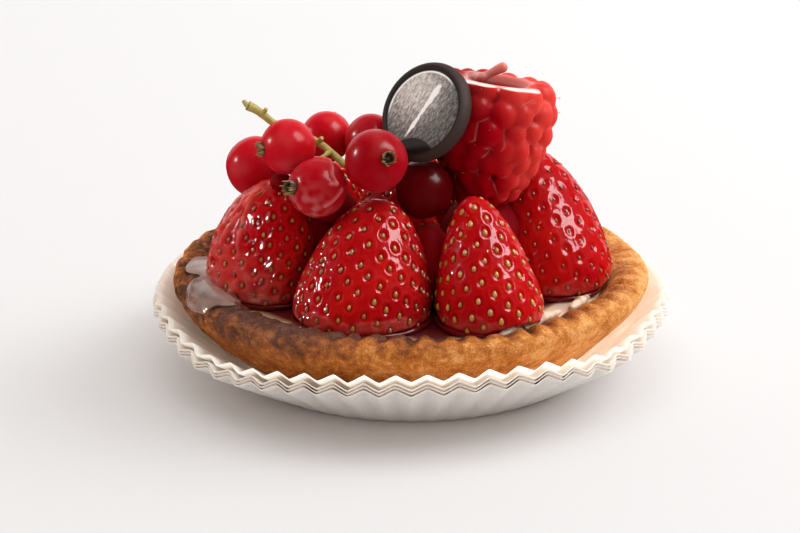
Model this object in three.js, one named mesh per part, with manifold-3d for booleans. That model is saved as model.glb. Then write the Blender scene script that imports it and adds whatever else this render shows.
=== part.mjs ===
// A strawberry tartlet: a crimped shortcrust shell filled with cream, topped with whole
// strawberries, a bunch of redcurrants, an upturned raspberry and a chocolate disc,
// standing in a nest of four fluted paper cases.
// Units are millimetres, +Z is up, and the origin is the centre of the paper's underside.
import * as THREE from 'three';
import { mergeVertices } from 'three/addons/utils/BufferGeometryUtils.js';
import Module from 'manifold-3d';

const wasm = await Module();
wasm.setup();

// Driving dimensions
const PAPER = {
  sheets: 4,
  thickness: 0.18,
  pitch: 0.47, // from one nested sheet to the next, measured square to the sheet
  inner_lift: 0.75, // the innermost sheet's wall stands off the next one by this much more
  base_radius: 31.4,
  rim_radius: 46.3,
  rim_height: 11.6,
  pleats: 54,
  pleat_depth: 0.72, // half the height of a flute at the rim, square to the wall
  base_pleat: 0.12, // share of that depth left at the foot of the wall
  step_back: 0.35, // how much lower each outer sheet's edge ends, along the wall
  // Where the flared wall has sunk: degrees round from +X, width of the dip, and its depth.
  dips: [{ at: -137, width: 19, depth: 2.6 }, { at: -42, width: 13, depth: 1.1 }],
};
const CRUST = {
  base_radius: 30.2,
  lip_radius: 41.9,
  lip_height: 15.7, // where the shell is widest
  top_height: 17.5,
  inner_radius: 34.4,
  inner_height: 15.5,
  floor: 5.4,
  foot_round: 1.6,
  crimps: 58,
  crimp_depth: 0.75,
  belly: 1.35, // how much fuller the side wall is at the left than at the right
  rim_sway: 0.45,
  rim_rise: 0.3,
};
const CREAM = { level: 15.2, edge_level: 14.8, side_gap: 0.45, bottom_gap: 0.3, segments: 40 };
const BERRY = {
  sides: 20,
  rings: 9,
  pit_depth: 0.3,
  base_height: 15.5,
  widest: 0.17, // share of the height at which a strawberry is widest
  rim_gap: 0.75, // clear of the crust's inner edge, crimps and all
  rim_slope: 1.15, // how fast that edge opens outwards with height
};
const CURRANT = { detail: 2, tuft_length: 1.5, tuft_radius: 0.85, tuft_tip: 0.45, tuft_sides: 6 };
const RASPBERRY = {
  foot: [11.7, -6.7, 31.0],
  top: [15.0, -3.0, 52.6],
  sides: 48,
  row_steps: 3, // rings of the mesh from one row of drupelets to the next
  drupelets: [1, 6, 8, 12, 12, 12, 12], // in each row, from the tip up to the hollow's edge
  drupelet_radius: 2.3,
  relief: 1.6, // how far the creases between drupelets lie below their tops
};
const DISC = {
  radius: 8.9,
  thickness: 3.6,
  sides: 28,
  edge_steps: 5,
  centre: [2.5, -10.65, 48.3],
  facing: [-0.567, -0.645, 0.512],
};
const STEM = { radius: 0.65, node_radius: 1.0, sides: 2, steps: 14 };

// Each strawberry stands on its cut face: plan centre, half widths across and along, turn of
// that oval in degrees, tip point, how blunt its sides are, and its cut face's share of the
// widest part.
const STRAWBERRIES = [
  { centre: [-26.4, -8.2], half: [9.2, 11.3], turn: 30, tip: [-22.9, -8.8, 35.4], blunt: 2.2, foot: 0.94 },
  { centre: [-8.5, -22.7], half: [11.8, 10.4], turn: 0, tip: [-5.7, -18.2, 35.2], blunt: 1.35, foot: 0.98 },
  { centre: [13.3, -23.6], half: [9.4, 9.5], turn: 0, tip: [10.4, -19.6, 36.3], blunt: 1.05, foot: 0.94 },
  { centre: [25.0, -5.2], half: [10.4, 10.5], turn: 0, tip: [21.3, 2.8, 37.4], blunt: 1.5, foot: 0.84 },
  { centre: [18.2, 15.8], half: [9.3, 9.4], turn: 20, tip: [14.0, 11.4, 34.2], blunt: 1.5, foot: 0.9 },
  { centre: [-0.4, 22.8], half: [9.6, 9.7], turn: 0, tip: [0.6, 15.0, 34.8], blunt: 1.3, foot: 0.92 },
  { centre: [-19.0, 14.0], half: [10.0, 9.5], turn: 40, tip: [-14.4, 11.2, 32.6], blunt: 1.6, foot: 0.92 },
  { centre: [-3.0, 0.6], half: [9.0, 9.0], turn: 0, tip: [-3.6, 2.4, 34.4], blunt: 1.3, foot: 0.92 },
];

// Each currant: centre, radius, and the way its dried flower end faces.
const CURRANTS = [
  { centre: [-27.4, 3.8, 33.9], radius: 5.4, tuft: [-0.3, 0.6, 0.74] },
  { centre: [-21.1, -11.5, 42.4], radius: 4.75, tuft: [-0.97, -0.24, 0.05] },
  { centre: [-14.9, 0.7, 40.4], radius: 4.5, tuft: [0.2, 0.9, 0.38] },
  { centre: [-15.9, -18.3, 37.3], radius: 5.05, tuft: [-0.8, -0.56, 0.2] },
  { centre: [-6.0, -19.0, 42.3], radius: 5.35, tuft: [0.37, -0.86, 0.35] },
  { centre: [-7.0, -4.0, 41.25], radius: 4.6, tuft: [-0.1, 0.95, 0.3] },
  { centre: [2.05, -12.0, 35.0], radius: 5.05, tuft: [0.2, 0.9, -0.38] },
];

// The bunch's stalk runs between the currants and ends in the air at the left.
const STEM_PATH = [
  [-11.2, -10.9, 38.8],
  [-13.9, -8.5, 40.6],
  [-16.9, -6.5, 42.1],
  [-20.6, -5.2, 43.3],
  [-24.2, -5.0, 44.7],
  [-25.7, -5.2, 46.5],
  [-28.1, -5.6, 48.0],
];
const STEM_NODES = [[-25.6, -5.2, 46.3], [-28.0, -5.6, 47.9], [-15.4, -7.4, 41.5]];

const COLOURS = {
  paper: 0xf4f2ee,
  crust: 0xb9762f,
  cream: 0xf1e3cf,
  strawberry: 0xb80f16,
  raspberry: 0xb5121f,
  currant: 0xa50d18,
  stem: 0xa8a04a,
  chocolate: 0x2c1d1b,
};

function material(colour, roughness) {
  return new THREE.MeshStandardMaterial({ color: colour, roughness, metalness: 0 });
}

// Repeatable random numbers between 0 and 1.
function randomFrom(seed) {
  let state = seed >>> 0;
  return () => {
    state = (Math.imul(state, 1664525) + 1013904223) >>> 0;
    return state / 4294967296;
  };
}

// A smooth uneven wave round a full turn, between about -1 and 1.
function unevenRound(seed, lowest, highest) {
  const random = randomFrom(seed);
  const waves = [];
  for (let count = lowest; count <= highest; count += 1) {
    waves.push({ count, phase: random() * 2 * Math.PI, size: 0.5 + random() });
  }
  const total = waves.reduce((sum, wave) => sum + wave.size, 0);
  return (angle) => waves.reduce(
    (sum, wave) => sum + wave.size * Math.cos(wave.count * angle + wave.phase), 0,
  ) / total * 1.6;
}

// Turns a profile of [radius, height] points round the Z axis.
function turned(profile, sides) {
  const points = profile.map(([radius, height]) => new THREE.Vector2(radius, height));
  const geometry = new THREE.LatheGeometry(points, sides);
  geometry.rotateX(Math.PI / 2);
  return geometry;
}

// Moves every vertex of a geometry by a function of its place.
function reshape(geometry, move) {
  const places = geometry.attributes.position;
  const place = new THREE.Vector3();
  for (let index = 0; index < places.count; index += 1) {
    place.fromBufferAttribute(places, index);
    move(place, index);
    places.setXYZ(index, place.x, place.y, place.z);
  }
  places.needsUpdate = true;
  return geometry;
}

// Splits the four-sided faces from one row of a turned shape upwards the other way, so that
// the two faces of a thin fluted sheet are split alike.
function turnDiagonals(geometry, rows, from) {
  const corners = geometry.index;
  const perColumn = rows - 1;
  for (let face = 0; face < corners.count / 6; face += 1) {
    if (face % perColumn >= from) {
      const start = face * 6;
      const [a, b, d, c] = [0, 1, 2, 3].map((step) => corners.getX(start + step));
      [a, b, c, a, c, d].forEach((corner, step) => corners.setX(start + step, corner));
    }
  }
}

function welded(geometry) {
  const bare = geometry.clone();
  bare.deleteAttribute('normal');
  bare.deleteAttribute('uv');
  return mergeVertices(bare, 1e-4);
}

function solidOf(geometry) {
  const mesh = welded(geometry);
  return new wasm.Manifold(new wasm.Mesh({
    numProp: 3,
    vertProperties: new Float32Array(mesh.attributes.position.array),
    triVerts: new Uint32Array(mesh.index.array),
  }));
}

function geometryOf(solid) {
  const mesh = solid.getMesh();
  const geometry = new THREE.BufferGeometry();
  geometry.setAttribute('position', new THREE.BufferAttribute(mesh.vertProperties, 3));
  geometry.setIndex(new THREE.BufferAttribute(mesh.triVerts, 1));
  geometry.computeVertexNormals();
  return geometry;
}

function named(name, geometry, colour, roughness) {
  const mesh = new THREE.Mesh(geometry, material(colour, roughness));
  mesh.name = name;
  return mesh;
}

// How far the crust's rim strays from a true circle, and from level.
const rimSway = unevenRound(23, 2, 7);
const rimLevel = unevenRound(31, 2, 9);
const crimpStrength = unevenRound(47, 7, 19);

// How far the paper's flared edge has sunk at an angle round the case.
function paperDip(angle) {
  return PAPER.dips.reduce((sum, dip) => {
    const turn = angle - THREE.MathUtils.degToRad(dip.at);
    const apart = THREE.MathUtils.radToDeg(Math.atan2(Math.sin(turn), Math.cos(turn)));
    return sum + dip.depth * Math.exp(-((apart / dip.width) ** 2));
  }, 0);
}

// One fluted paper case. Sheet 0 is the outermost and stands on the floor.
function paperSheet(index) {
  const run = PAPER.rim_radius - PAPER.base_radius;
  const wall = Math.hypot(run, PAPER.rim_height);
  const along = new THREE.Vector2(run / wall, PAPER.rim_height / wall);
  const inward = new THREE.Vector2(-along.y, along.x);
  const innermost = index === PAPER.sheets - 1;
  const floor = index * PAPER.pitch;
  const lift = innermost ? PAPER.inner_lift : 0;
  const length = wall - (PAPER.sheets - 1 - index) * PAPER.step_back;
  // Rows of the sheet's outline: way up the wall, and way into the thickness of the paper.
  const rows = [
    null,
    [0, 0],
    [length, 0],
    [length, PAPER.thickness],
    [0, PAPER.thickness],
    null,
  ];
  const profile = rows.map((row, place) => {
    const outer = place < rows.length / 2;
    return row ? [PAPER.base_radius + row[0], place] : [0, floor + (outer ? 0 : PAPER.thickness)];
  });
  const geometry = turned(profile, PAPER.pleats * 2);
  turnDiagonals(geometry, rows.length, 3);
  return reshape(geometry, (place, vertex) => {
    const row = rows[vertex % rows.length];
    if (!row) return;
    const [up, into] = row;
    const angle = Math.atan2(place.y, place.x);
    const share = up / wall;
    const depth = PAPER.pleat_depth * (PAPER.base_pleat + (1 - PAPER.base_pleat) * share);
    const flute = Math.cos(angle * PAPER.pleats) * depth;
    const off = floor + lift * share + into + flute + rimSway(angle + 1) * 0.4 * share;
    const radius = PAPER.base_radius + along.x * up + inward.x * off;
    const height = up > 0 ? along.y * up + inward.y * off - paperDip(angle) : floor + into;
    place.set(radius * Math.cos(angle), radius * Math.sin(angle), height);
  });
}

// The shell's outline from the middle of its underside out over the rim to the middle of its
// floor: radius, height, how much a crimp presses it, and how much of the belly it has.
function crustOutline() {
  const { base_radius: base, lip_radius: lip, inner_radius: inner } = CRUST;
  const { lip_height: widest, top_height: top, inner_height: edge } = CRUST;
  const bottom = PAPER.sheets * PAPER.pitch + 0.3;
  return [
    [0, bottom, 0, 0],
    [base - CRUST.foot_round, bottom, 0, 0],
    [base, bottom + CRUST.foot_round / 2, 0, 0],
    [(base + lip) / 2 - 0.2, widest / 2, 0, 0.9],
    [lip - 1.5, widest - 2.9, 0, 0.6],
    [lip, widest, 0.1, 0],
    [lip - 0.7, top - 0.6, 0.25, 0],
    [lip - 2.3, top, 0.6, 0],
    [(lip + inner) / 2 - 0.3, top + 0.1, 1, 0],
    [inner + 1.6, top - 0.6, 0.9, 0],
    [inner, edge, 0.4, 0],
    [inner - 0.8, edge - 2.5, 0, 0],
    [inner - 5.5, CRUST.floor + 0.5, 0, 0],
    [0, CRUST.floor, 0, 0],
  ].map(([radius, height, press, full]) => ({ radius, height, press, full }));
}

function crustShell() {
  const outline = crustOutline();
  const geometry = turned(outline.map((row) => [row.radius, row.height]), CRUST.crimps * 2);
  return reshape(geometry, (place, index) => {
    const row = outline[index % outline.length];
    if (row.radius < CRUST.inner_radius - 1 && row.full === 0) return;
    const angle = Math.atan2(place.y, place.x);
    const high = (row.height - CRUST.floor) / (CRUST.lip_height - CRUST.floor);
    const outer = row.height > CRUST.floor && (row.full > 0 || row.radius > CRUST.inner_radius);
    const sway = outer ? rimSway(angle) * CRUST.rim_sway * high : 0;
    const belly = row.full * CRUST.belly * (0.4 - 0.6 * Math.cos(angle + 0.2));
    const dent = 0.2 - Math.cos(angle * CRUST.crimps);
    const pressed = row.press * CRUST.crimp_depth * (0.75 + 0.45 * crimpStrength(angle)) * dent;
    const grown = row.radius + sway + belly;
    const rise = row.press > 0 ? rimLevel(angle) * CRUST.rim_rise : 0;
    place.set(grown * Math.cos(angle), grown * Math.sin(angle), place.z - pressed + rise);
  });
}

function creamFilling() {
  const floor = CRUST.floor + CREAM.bottom_gap;
  const side = CRUST.inner_radius - 0.8 - CREAM.side_gap;
  const profile = [
    [0, floor],
    [side - 4.8, floor + 0.5],
    [side, CRUST.inner_height - 2.2],
    [side + 0.3, CREAM.edge_level],
    [side - 1.6, CREAM.edge_level + 0.3],
    [0, CREAM.level],
  ];
  return turned(profile, CREAM.segments);
}

// The side of a strawberry from its cut face (0) to its tip (1), as a share of its width.
function berryWidth(share, berry) {
  const { widest } = BERRY;
  if (share < widest) {
    return 1 - (1 - berry.foot) * ((widest - share) / widest) ** 2;
  }
  const rest = (share - widest) / (1 - widest);
  return Math.max(0, 1 - rest ** berry.blunt) ** (1 / 1.95);
}

function strawberry(berry, seed) {
  const height = berry.tip[2] - BERRY.base_height;
  const profile = [[0, 0]];
  for (let ring = 0; ring <= BERRY.rings; ring += 1) {
    const share = 1 - (1 - ring / (BERRY.rings + 0.45)) ** 1.12;
    profile.push([berryWidth(share, berry), share]);
  }
  profile.push([0, 1]);
  const rows = profile.length;
  const lobes = unevenRound(seed, 2, 4);
  const turn = THREE.MathUtils.degToRad(berry.turn);
  const lean = new THREE.Vector2(berry.tip[0] - berry.centre[0], berry.tip[1] - berry.centre[1]);
  const geometry = turned(profile, BERRY.sides);
  return reshape(geometry, (place, index) => {
    const row = index % rows;
    const column = Math.floor(index / rows) % BERRY.sides;
    const share = Math.max(0, place.z);
    const angle = Math.atan2(place.y, place.x);
    const swell = 1 + 0.02 * lobes(angle) * Math.sin(Math.PI * share);
    const pitted = row > 1 && row < rows - 1 && (row + column) % 2 === 0;
    const cut = BERRY.pit_depth * (pitted ? 0.6 : -0.4);
    const across = place.x * (berry.half[0] * swell - cut);
    const along = place.y * (berry.half[1] * swell - cut);
    const leaning = share ** 1.5;
    const right = berry.centre[0] + lean.x * leaning + across * Math.cos(turn) - along * Math.sin(turn);
    const back = berry.centre[1] + lean.y * leaning + across * Math.sin(turn) + along * Math.cos(turn);
    // The soft fruit is held in by the crust's inner edge.
    const held = CRUST.inner_radius - BERRY.rim_gap + height * share * BERRY.rim_slope;
    const inside = Math.min(1, held / Math.hypot(right, back));
    place.set(right * inside, back * inside, BERRY.base_height + height * share);
  });
}

// A round berry with the dried remnant of its flower as a ragged little crown.
function currant(berry) {
  const ball = new THREE.IcosahedronGeometry(berry.radius, CURRANT.detail);
  const tuft = new THREE.CylinderGeometry(
    CURRANT.tuft_radius, CURRANT.tuft_tip, CURRANT.tuft_length, CURRANT.tuft_sides,
  );
  const facing = new THREE.Vector3(...berry.tuft).normalize();
  const turn = new THREE.Quaternion().setFromUnitVectors(new THREE.Vector3(0, 1, 0), facing);
  const reach = berry.radius + CURRANT.tuft_length * 0.22;
  const centre = new THREE.Vector3(...berry.centre);
  tuft.applyQuaternion(turn);
  tuft.translate(facing.x * reach, facing.y * reach, facing.z * reach);
  const geometry = geometryOf(solidOf(ball).add(solidOf(tuft)));
  geometry.translate(centre.x, centre.y, centre.z);
  return geometry;
}

// The raspberry's outline over its drupelets, as radius and share of its height from the tip.
const RASPBERRY_SIDE = [
  [0, 0], [3.6, 0.03], [5.6, 0.11], [7.0, 0.23], [8.5, 0.38], [9.6, 0.55], [9.8, 0.72], [9.2, 0.87],
  [7.6, 0.99],
];
// The hollow in its top, the same way.
const RASPBERRY_HOLLOW = [[5.1, 0.97], [3.6, 0.6], [0, 0.36]];

// The middles of the raspberry's drupelets, each row turned half a step from the one below.
function drupeletMiddles(side) {
  const random = randomFrom(7);
  const rows = RASPBERRY.drupelets.length;
  return RASPBERRY.drupelets.flatMap((count, row) => {
    const middle = side.getPointAt(row / (rows - 1));
    return Array.from({ length: count }, (_, place) => {
      const angle = ((place + (row % 2) / 2) / count) * 2 * Math.PI;
      const height = middle.y + (random() - 0.5) * 0.9;
      return new THREE.Vector3(middle.x * Math.cos(angle), middle.x * Math.sin(angle), height);
    });
  });
}

// An upturned raspberry: a hollow fruit whose side is pressed in between its drupelets.
function raspberry() {
  const foot = new THREE.Vector3(...RASPBERRY.foot);
  const top = new THREE.Vector3(...RASPBERRY.top);
  const height = foot.distanceTo(top);
  const side = new THREE.SplineCurve(
    RASPBERRY_SIDE.map(([radius, share]) => new THREE.Vector2(radius, share * height)),
  );
  const rings = (RASPBERRY.drupelets.length - 1) * RASPBERRY.row_steps;
  const outline = side.getSpacedPoints(rings).map((point) => [point.x, point.y]);
  RASPBERRY_HOLLOW.forEach(([radius, share]) => outline.push([radius, share * height]));
  const middles = drupeletMiddles(side);
  const geometry = turned(outline, RASPBERRY.sides);
  reshape(geometry, (place, index) => {
    if (index % outline.length > rings) return;
    const nearest = Math.min(...middles.map((middle) => middle.distanceTo(place)));
    const roundness = Math.sqrt(Math.max(0, 1 - (nearest / RASPBERRY.drupelet_radius) ** 2));
    const inward = new THREE.Vector3(0, 0, Math.max(height / 3, place.z)).sub(place).normalize();
    place.addScaledVector(inward, RASPBERRY.relief * (1 - roundness));
  });
  const axis = top.clone().sub(foot).normalize();
  geometry.applyQuaternion(new THREE.Quaternion().setFromUnitVectors(new THREE.Vector3(0, 0, 1), axis));
  geometry.translate(foot.x, foot.y, foot.z);
  return geometry;
}

// A chocolate button: two flat faces and a fully rounded edge.
function chocolateDisc() {
  const round = DISC.thickness / 2;
  const profile = [[0, -round]];
  for (let step = 0; step <= DISC.edge_steps; step += 1) {
    const angle = (step / DISC.edge_steps - 0.5) * Math.PI;
    profile.push([DISC.radius - round + round * Math.cos(angle), round * Math.sin(angle)]);
  }
  profile.push([0, round]);
  const geometry = turned(profile, DISC.sides);
  const facing = new THREE.Vector3(...DISC.facing).normalize();
  geometry.applyQuaternion(new THREE.Quaternion().setFromUnitVectors(new THREE.Vector3(0, 0, 1), facing));
  geometry.translate(...DISC.centre);
  return geometry;
}

function currantStem() {
  const path = new THREE.CatmullRomCurve3(STEM_PATH.map((point) => new THREE.Vector3(...point)));
  const section = new THREE.Shape();
  section.absarc(0, 0, STEM.radius, 0, 2 * Math.PI, false);
  const stalk = new THREE.ExtrudeGeometry(section, {
    steps: STEM.steps,
    curveSegments: STEM.sides,
    extrudePath: path,
    bevelEnabled: false,
  });
  let solid = solidOf(stalk);
  for (const point of STEM_NODES) {
    const node = new THREE.IcosahedronGeometry(STEM.node_radius, 0);
    node.translate(...point);
    solid = solid.add(solidOf(node));
  }
  return geometryOf(solid);
}

const group = new THREE.Group();
for (let index = 0; index < PAPER.sheets; index += 1) {
  group.add(named(`paper_case_${index + 1}`, paperSheet(index), COLOURS.paper, 0.85));
}
group.add(named('crust', crustShell(), COLOURS.crust, 0.7));
group.add(named('cream', creamFilling(), COLOURS.cream, 0.5));
STRAWBERRIES.forEach((berry, index) => {
  const geometry = strawberry(berry, 100 + index);
  group.add(named(`strawberry_${index + 1}`, geometry, COLOURS.strawberry, 0.2));
});
CURRANTS.forEach((berry, index) => {
  group.add(named(`currant_${index + 1}`, currant(berry), COLOURS.currant, 0.2));
});
group.add(named('currant_stem', currantStem(), COLOURS.stem, 0.6));
group.add(named('raspberry', raspberry(), COLOURS.raspberry, 0.35));
group.add(named('chocolate_disc', chocolateDisc(), COLOURS.chocolate, 0.35));

export default group;
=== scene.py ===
import math

import bpy
import numpy as np
from mathutils import Matrix, Vector, noise


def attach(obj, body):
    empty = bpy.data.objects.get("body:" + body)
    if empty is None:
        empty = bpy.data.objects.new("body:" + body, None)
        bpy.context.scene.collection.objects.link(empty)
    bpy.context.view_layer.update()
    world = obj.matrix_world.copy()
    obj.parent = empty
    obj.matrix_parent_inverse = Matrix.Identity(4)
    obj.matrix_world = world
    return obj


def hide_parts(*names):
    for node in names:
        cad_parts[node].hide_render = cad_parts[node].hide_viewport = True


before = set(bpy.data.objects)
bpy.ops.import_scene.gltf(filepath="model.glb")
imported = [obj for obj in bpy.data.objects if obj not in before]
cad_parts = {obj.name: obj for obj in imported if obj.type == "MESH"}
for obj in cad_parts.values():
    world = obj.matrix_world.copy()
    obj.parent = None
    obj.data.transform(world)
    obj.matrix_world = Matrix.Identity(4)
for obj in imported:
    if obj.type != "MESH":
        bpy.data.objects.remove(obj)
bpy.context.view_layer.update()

bl_info = {
    "name": "Strawberry Tartlet",
    "version": (1, 0, 0),
    "blender": (4, 5, 0),
    "location": "View3D > Sidebar > Tartlet",
    "description": "Models a glazed strawberry tartlet standing in fluted paper cases",
    "category": "Object",
}

MM = 0.001
TURN = 2 * math.pi
GOLDEN_ANGLE = math.pi * (3 - math.sqrt(5))

# Sizes are millimetres, angles are degrees round from +X, and the photograph's side is -Y.
# A span is a start and a length from there; a negative length runs inward, down or left.
PAPER = {
    "sheets": 4,
    "thickness": 0.18,
    "pitch": 0.47,
    "inner_lift": 0.75,
    "middle_ring": 4,
    "base_radius": 31.4,
    "rim_radius": 46.3,
    "rim_height": 11.6,
    "base_share": 0.12,
    "step_back": 0.35,
    "wall_rings": 14,
    "points_a_pleat": 12,
    "stain_size": 0.16,
    # Span of the wall's share at the rim that is painted light
    "painted_light_span": (0.885, 0.03),
    "dips": ((-134, 23, 3.2), (-42, 13, 1.1)),
}
CRUST = {
    "sides": 58,
    "base_radius": 30.2,
    "lip_radius": 41.9,
    "lip_height": 15.7,
    "top_height": 17.5,
    "inner_radius": 34.4,
    "inner_height": 15.5,
    "floor": 5.4,
    "foot_round": 1.6,
    "belly": 1.35,
    "rim_sway": 0.45,
    "rim_rise": 0.3,
    "outer_share": 0.87,
}
# Where the shell browns: spans of its radius, of its height and of the way to the left
BAKE = {
    "inner_edge": (40.3, -2.9),
    "shoulder": (12.3, 2.6),
    "shoulder_reach": (4, -22),
    "flank": (8.5, 4),
    "flank_reach": (-6, -14),
}
# The shell's rim in profile, as radii and heights, for the glaze that lies on it
RIM_PROFILE = (
    (33, 34.2, 35, 36.5, 38, 40, 41.2, 41.8), (15.6, 16.2, 17.2, 17.8, 18.0, 17.85, 17.1, 16.2))
# Lobes of that glaze: angle, radius, half sizes outward and along the rim, and thickness
GLAZE_LOBES = ((206, 38.3, 4.0, 7.4, 0.6), (186, 36.8, 2.9, 5.0, 0.5))
# The cream's levels, the radius of its dark red under the fruit, and where it shows clean and where
# juice lies: middle and width in degrees
CREAM = {
    "rim_gap": 1.05,
    "level": 15.2,
    "edge_level": 14.8,
    # Inside this radius the cream is dark red: juice, and painted shade under the fruit
    "juice_and_shade_radius": 31.8,
    "open_side": (-33, 17),
    "juicy_gap": (-84, 7),
}
# Ridges of cream pressed out at the rim
CREAM_DABS = (
    ((18.9, -28.9, 16.0), (21.6, -26.0, 16.5), (23.6, -23.6, 16.5), (25.0, -21.6, 16.1)),
    ((14.6, -32.2, 15.8), (16.2, -31.0, 16.3), (17.6, -29.6, 16.2), (18.4, -28.8, 15.9)),
    ((27.2, -18.6, 15.6), (28.4, -16.8, 15.8), (29.6, -14.6, 15.8), (30.6, -12.6, 15.6)),
)

BERRY = {"base_height": 15.5, "widest": 0.17, "rim_gap": 0.75, "rim_slope": 1.15}
# Each strawberry: plan centre, half widths, turn of that oval, tip, bluntness, foot share
STRAWBERRIES = (
    ((-26.4, -8.2), (9.2, 11.3), 30, (-22.9, -8.8, 35.4), 2.2, 0.94),
    ((-8.5, -22.7), (11.8, 10.4), 0, (-5.7, -18.2, 35.2), 1.35, 0.98),
    ((13.3, -23.6), (9.4, 9.5), 0, (10.4, -19.6, 36.3), 1.05, 0.94),
    ((25.0, -5.2), (10.4, 10.5), 0, (21.3, 2.8, 37.4), 1.5, 0.84),
    ((18.2, 15.8), (9.3, 9.4), 20, (14.0, 11.4, 34.2), 1.5, 0.9),
    ((-0.4, 22.8), (9.6, 9.7), 0, (0.6, 15.0, 34.8), 1.3, 0.92),
    ((-19.0, 14.0), (10.0, 9.5), 40, (-14.4, 11.2, 32.6), 1.6, 0.92),
    ((-3.0, 0.6), (9.0, 9.0), 0, (-3.6, 2.4, 34.4), 1.3, 0.92),
)
# For each strawberry, how pale and how large its seeds are, the depth of its pits, and how milky
# its glaze is, with its painted sheen
SEED_TONES = (0.12, 0.2, 0.4, 0.06, 0.25, 0.25, 0.25, 0.2)
SEED_SIZES = (0.78, 0.9, 1.0, 0.62, 0.9, 0.9, 0.9, 0.9)
PIT_SHARES = (0.9, 0.9, 0.7, 0.5, 0.8, 0.8, 0.8, 0.8)
HAZE_AND_SHEEN_SHARES = (0.85, 0.6, 0.5, 0.45, 0, 0, 0, 0)
# A pit round a seed: how far it is worked out, its stretch uphill, its width and raised edge
PIT = {"span": 4.5, "stretch": 1.2, "width": 0.72, "ring": 1.08, "ring_width": 0.26}
# Folds of the thick glaze on the left strawberry: angle, slant and rise
GLAZE_FOLDS = ((184, 3, 0.75), (172, 5, 0.55), (196, -7, 0.4))
# Larger facets of glaze: strawberry, height share, angle round it and size
FACETS = (
    (0, 0.89, 219, 0.5), (0, 0.79, 229, 0.85), (0, 0.76, 231, 0.5), (0, 0.65, 238, 0.6),
    (0, 0.56, 231, 0.75), (0, 0.45, 240, 0.65), (0, 0.41, 241, 0.9), (0, 0.74, 210, 0.4),
    (0, 0.48, 217, 0.45), (0, 0.6, 222, 0.4), (0, 0.7, 222, 0.4), (0, 0.34, 228, 0.5),
    (0, 0.27, 236, 0.45), (0, 0.52, 205, 0.35),
)
# Areas strewn with small facets: strawberry, shares, angles and how many
STREWN = (
    (0, 0.2, 0.92, 200, 262, 40), (1, 0.12, 0.62, 192, 240, 36), (2, 0.5, 0.95, 200, 290, 14),
    (3, 0.2, 0.95, 200, 280, 18),
)
# Dark glaze between the fruit, as dark as painted shade there: centres and half sizes of its lumps
GAP_GLAZE_AND_SHADE_LUMPS = (
    ((12.5, -5.5, 22.5), (8.0, 8.5, 9.5)), ((-17.5, -8.5, 25.0), (5.5, 5.0, 8.5)),
    ((3.0, -15.0, 22.0), (4.2, 6.0, 7.5)), ((-22.4, -10.6, 35.9), (1.9, 1.9, 1.5)),
    ((-14.0, -12.0, 32.0), (4.5, 4.0, 3.0)),
)

# Each currant: centre, radius, the way its dried flower faces, and that flower's length
CURRANTS = (
    ((-27.4, 3.8, 33.9), 5.4, (-0.2, 0.95, -0.1), 1.2),
    ((-21.1, -11.5, 42.4), 4.75, (-0.93, -0.36, 0.02), 0.9),
    ((-14.9, 0.7, 40.4), 4.5, (0.2, 0.9, 0.38), 1.2),
    ((-15.9, -18.3, 37.3), 5.05, (-0.8, -0.56, 0.2), 1.6),
    ((-6.0, -19.0, 42.3), 5.35, (0.37, -0.86, 0.35), 1.3),
    ((-7.0, -4.0, 41.25), 4.6, (-0.1, 0.95, 0.3), 1.2),
    ((2.05, -12.0, 35.0), 5.05, (0.2, 0.9, -0.38), 1.2),
)
# How pale each currant is; the seventh, deep between the fruit, is dark as painted shade
CURRANT_TONES_AND_SHADE = (0.75, 0.9, 0.8, 0.6, 0.5, 0.6, 0.12)
# The currant over which glaze has folded, and the folds as directions from its centre
FOLDED_CURRANT = 3
CURRANT_FOLDS = (
    ((-0.07, 0.13, 0.99), (0.42, 0.15, 0.9), (0.51, -0.38, 0.77), (0.49, -0.6, 0.63),
     (0.63, -0.69, 0.36)),
    ((0.8, -0.59, 0.12), (0.67, -0.74, -0.04), (0.51, -0.84, -0.18), (0.27, -0.9, -0.33)),
    ((0.63, -0.69, 0.36), (0.55, -0.74, 0.38), (0.45, -0.8, 0.4)),
)
# The stalk of the bunch with its radii, and the stubs of its side stalks
STEM_PATH = (
    (-11.2, -10.9, 38.8), (-13.9, -8.5, 40.6), (-16.9, -6.5, 42.1), (-20.6, -5.2, 43.3),
    (-24.2, -5.0, 44.7), (-25.7, -5.2, 46.5), (-28.1, -5.6, 48.0),
)
STEM_RADII = (0.62, 0.6, 0.66, 0.58, 0.62, 0.66, 0.85)
STEM_SPURS = (
    ((-15.9, -7.2, 41.8), (-15.6, -7.8, 42.6), (-15.4, -8.0, 42.9)),
    ((-25.6, -5.2, 46.3), (-25.2, -5.5, 47.1), (-25.0, -5.6, 47.4)),
    ((-13.9, -8.5, 40.6), (-14.6, -10.8, 40.8), (-15.4, -13.4, 41.0)),
    ((-28.0, -5.6, 47.9), (-28.7, -5.3, 48.3), (-28.9, -5.2, 48.8)),
)

RASPBERRY = {
    "foot": (11.7, -6.7, 31.0),
    "top": (15.0, -3.0, 52.6),
    "small": 1.4,
    "large": 2.45,
    "sink": 0.5,
    "inset": 1.4,
    "voxel": 0.25,
    "lit_way": (0.75, 0.0, -0.3),
}
# The raspberry's side from its tip, and its hollow from the rim: radius and share of the height
RASPBERRY_SIDE = (
    (0, 0), (3.6, 0.03), (5.6, 0.11), (7.0, 0.23), (8.5, 0.38), (9.6, 0.55), (9.8, 0.72),
    (9.2, 0.87), (7.6, 0.99),
)
RASPBERRY_HOLLOW = ((5.6, 0.98), (4.9, 0.9), (3.8, 0.62), (0.8, 0.38))
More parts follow.
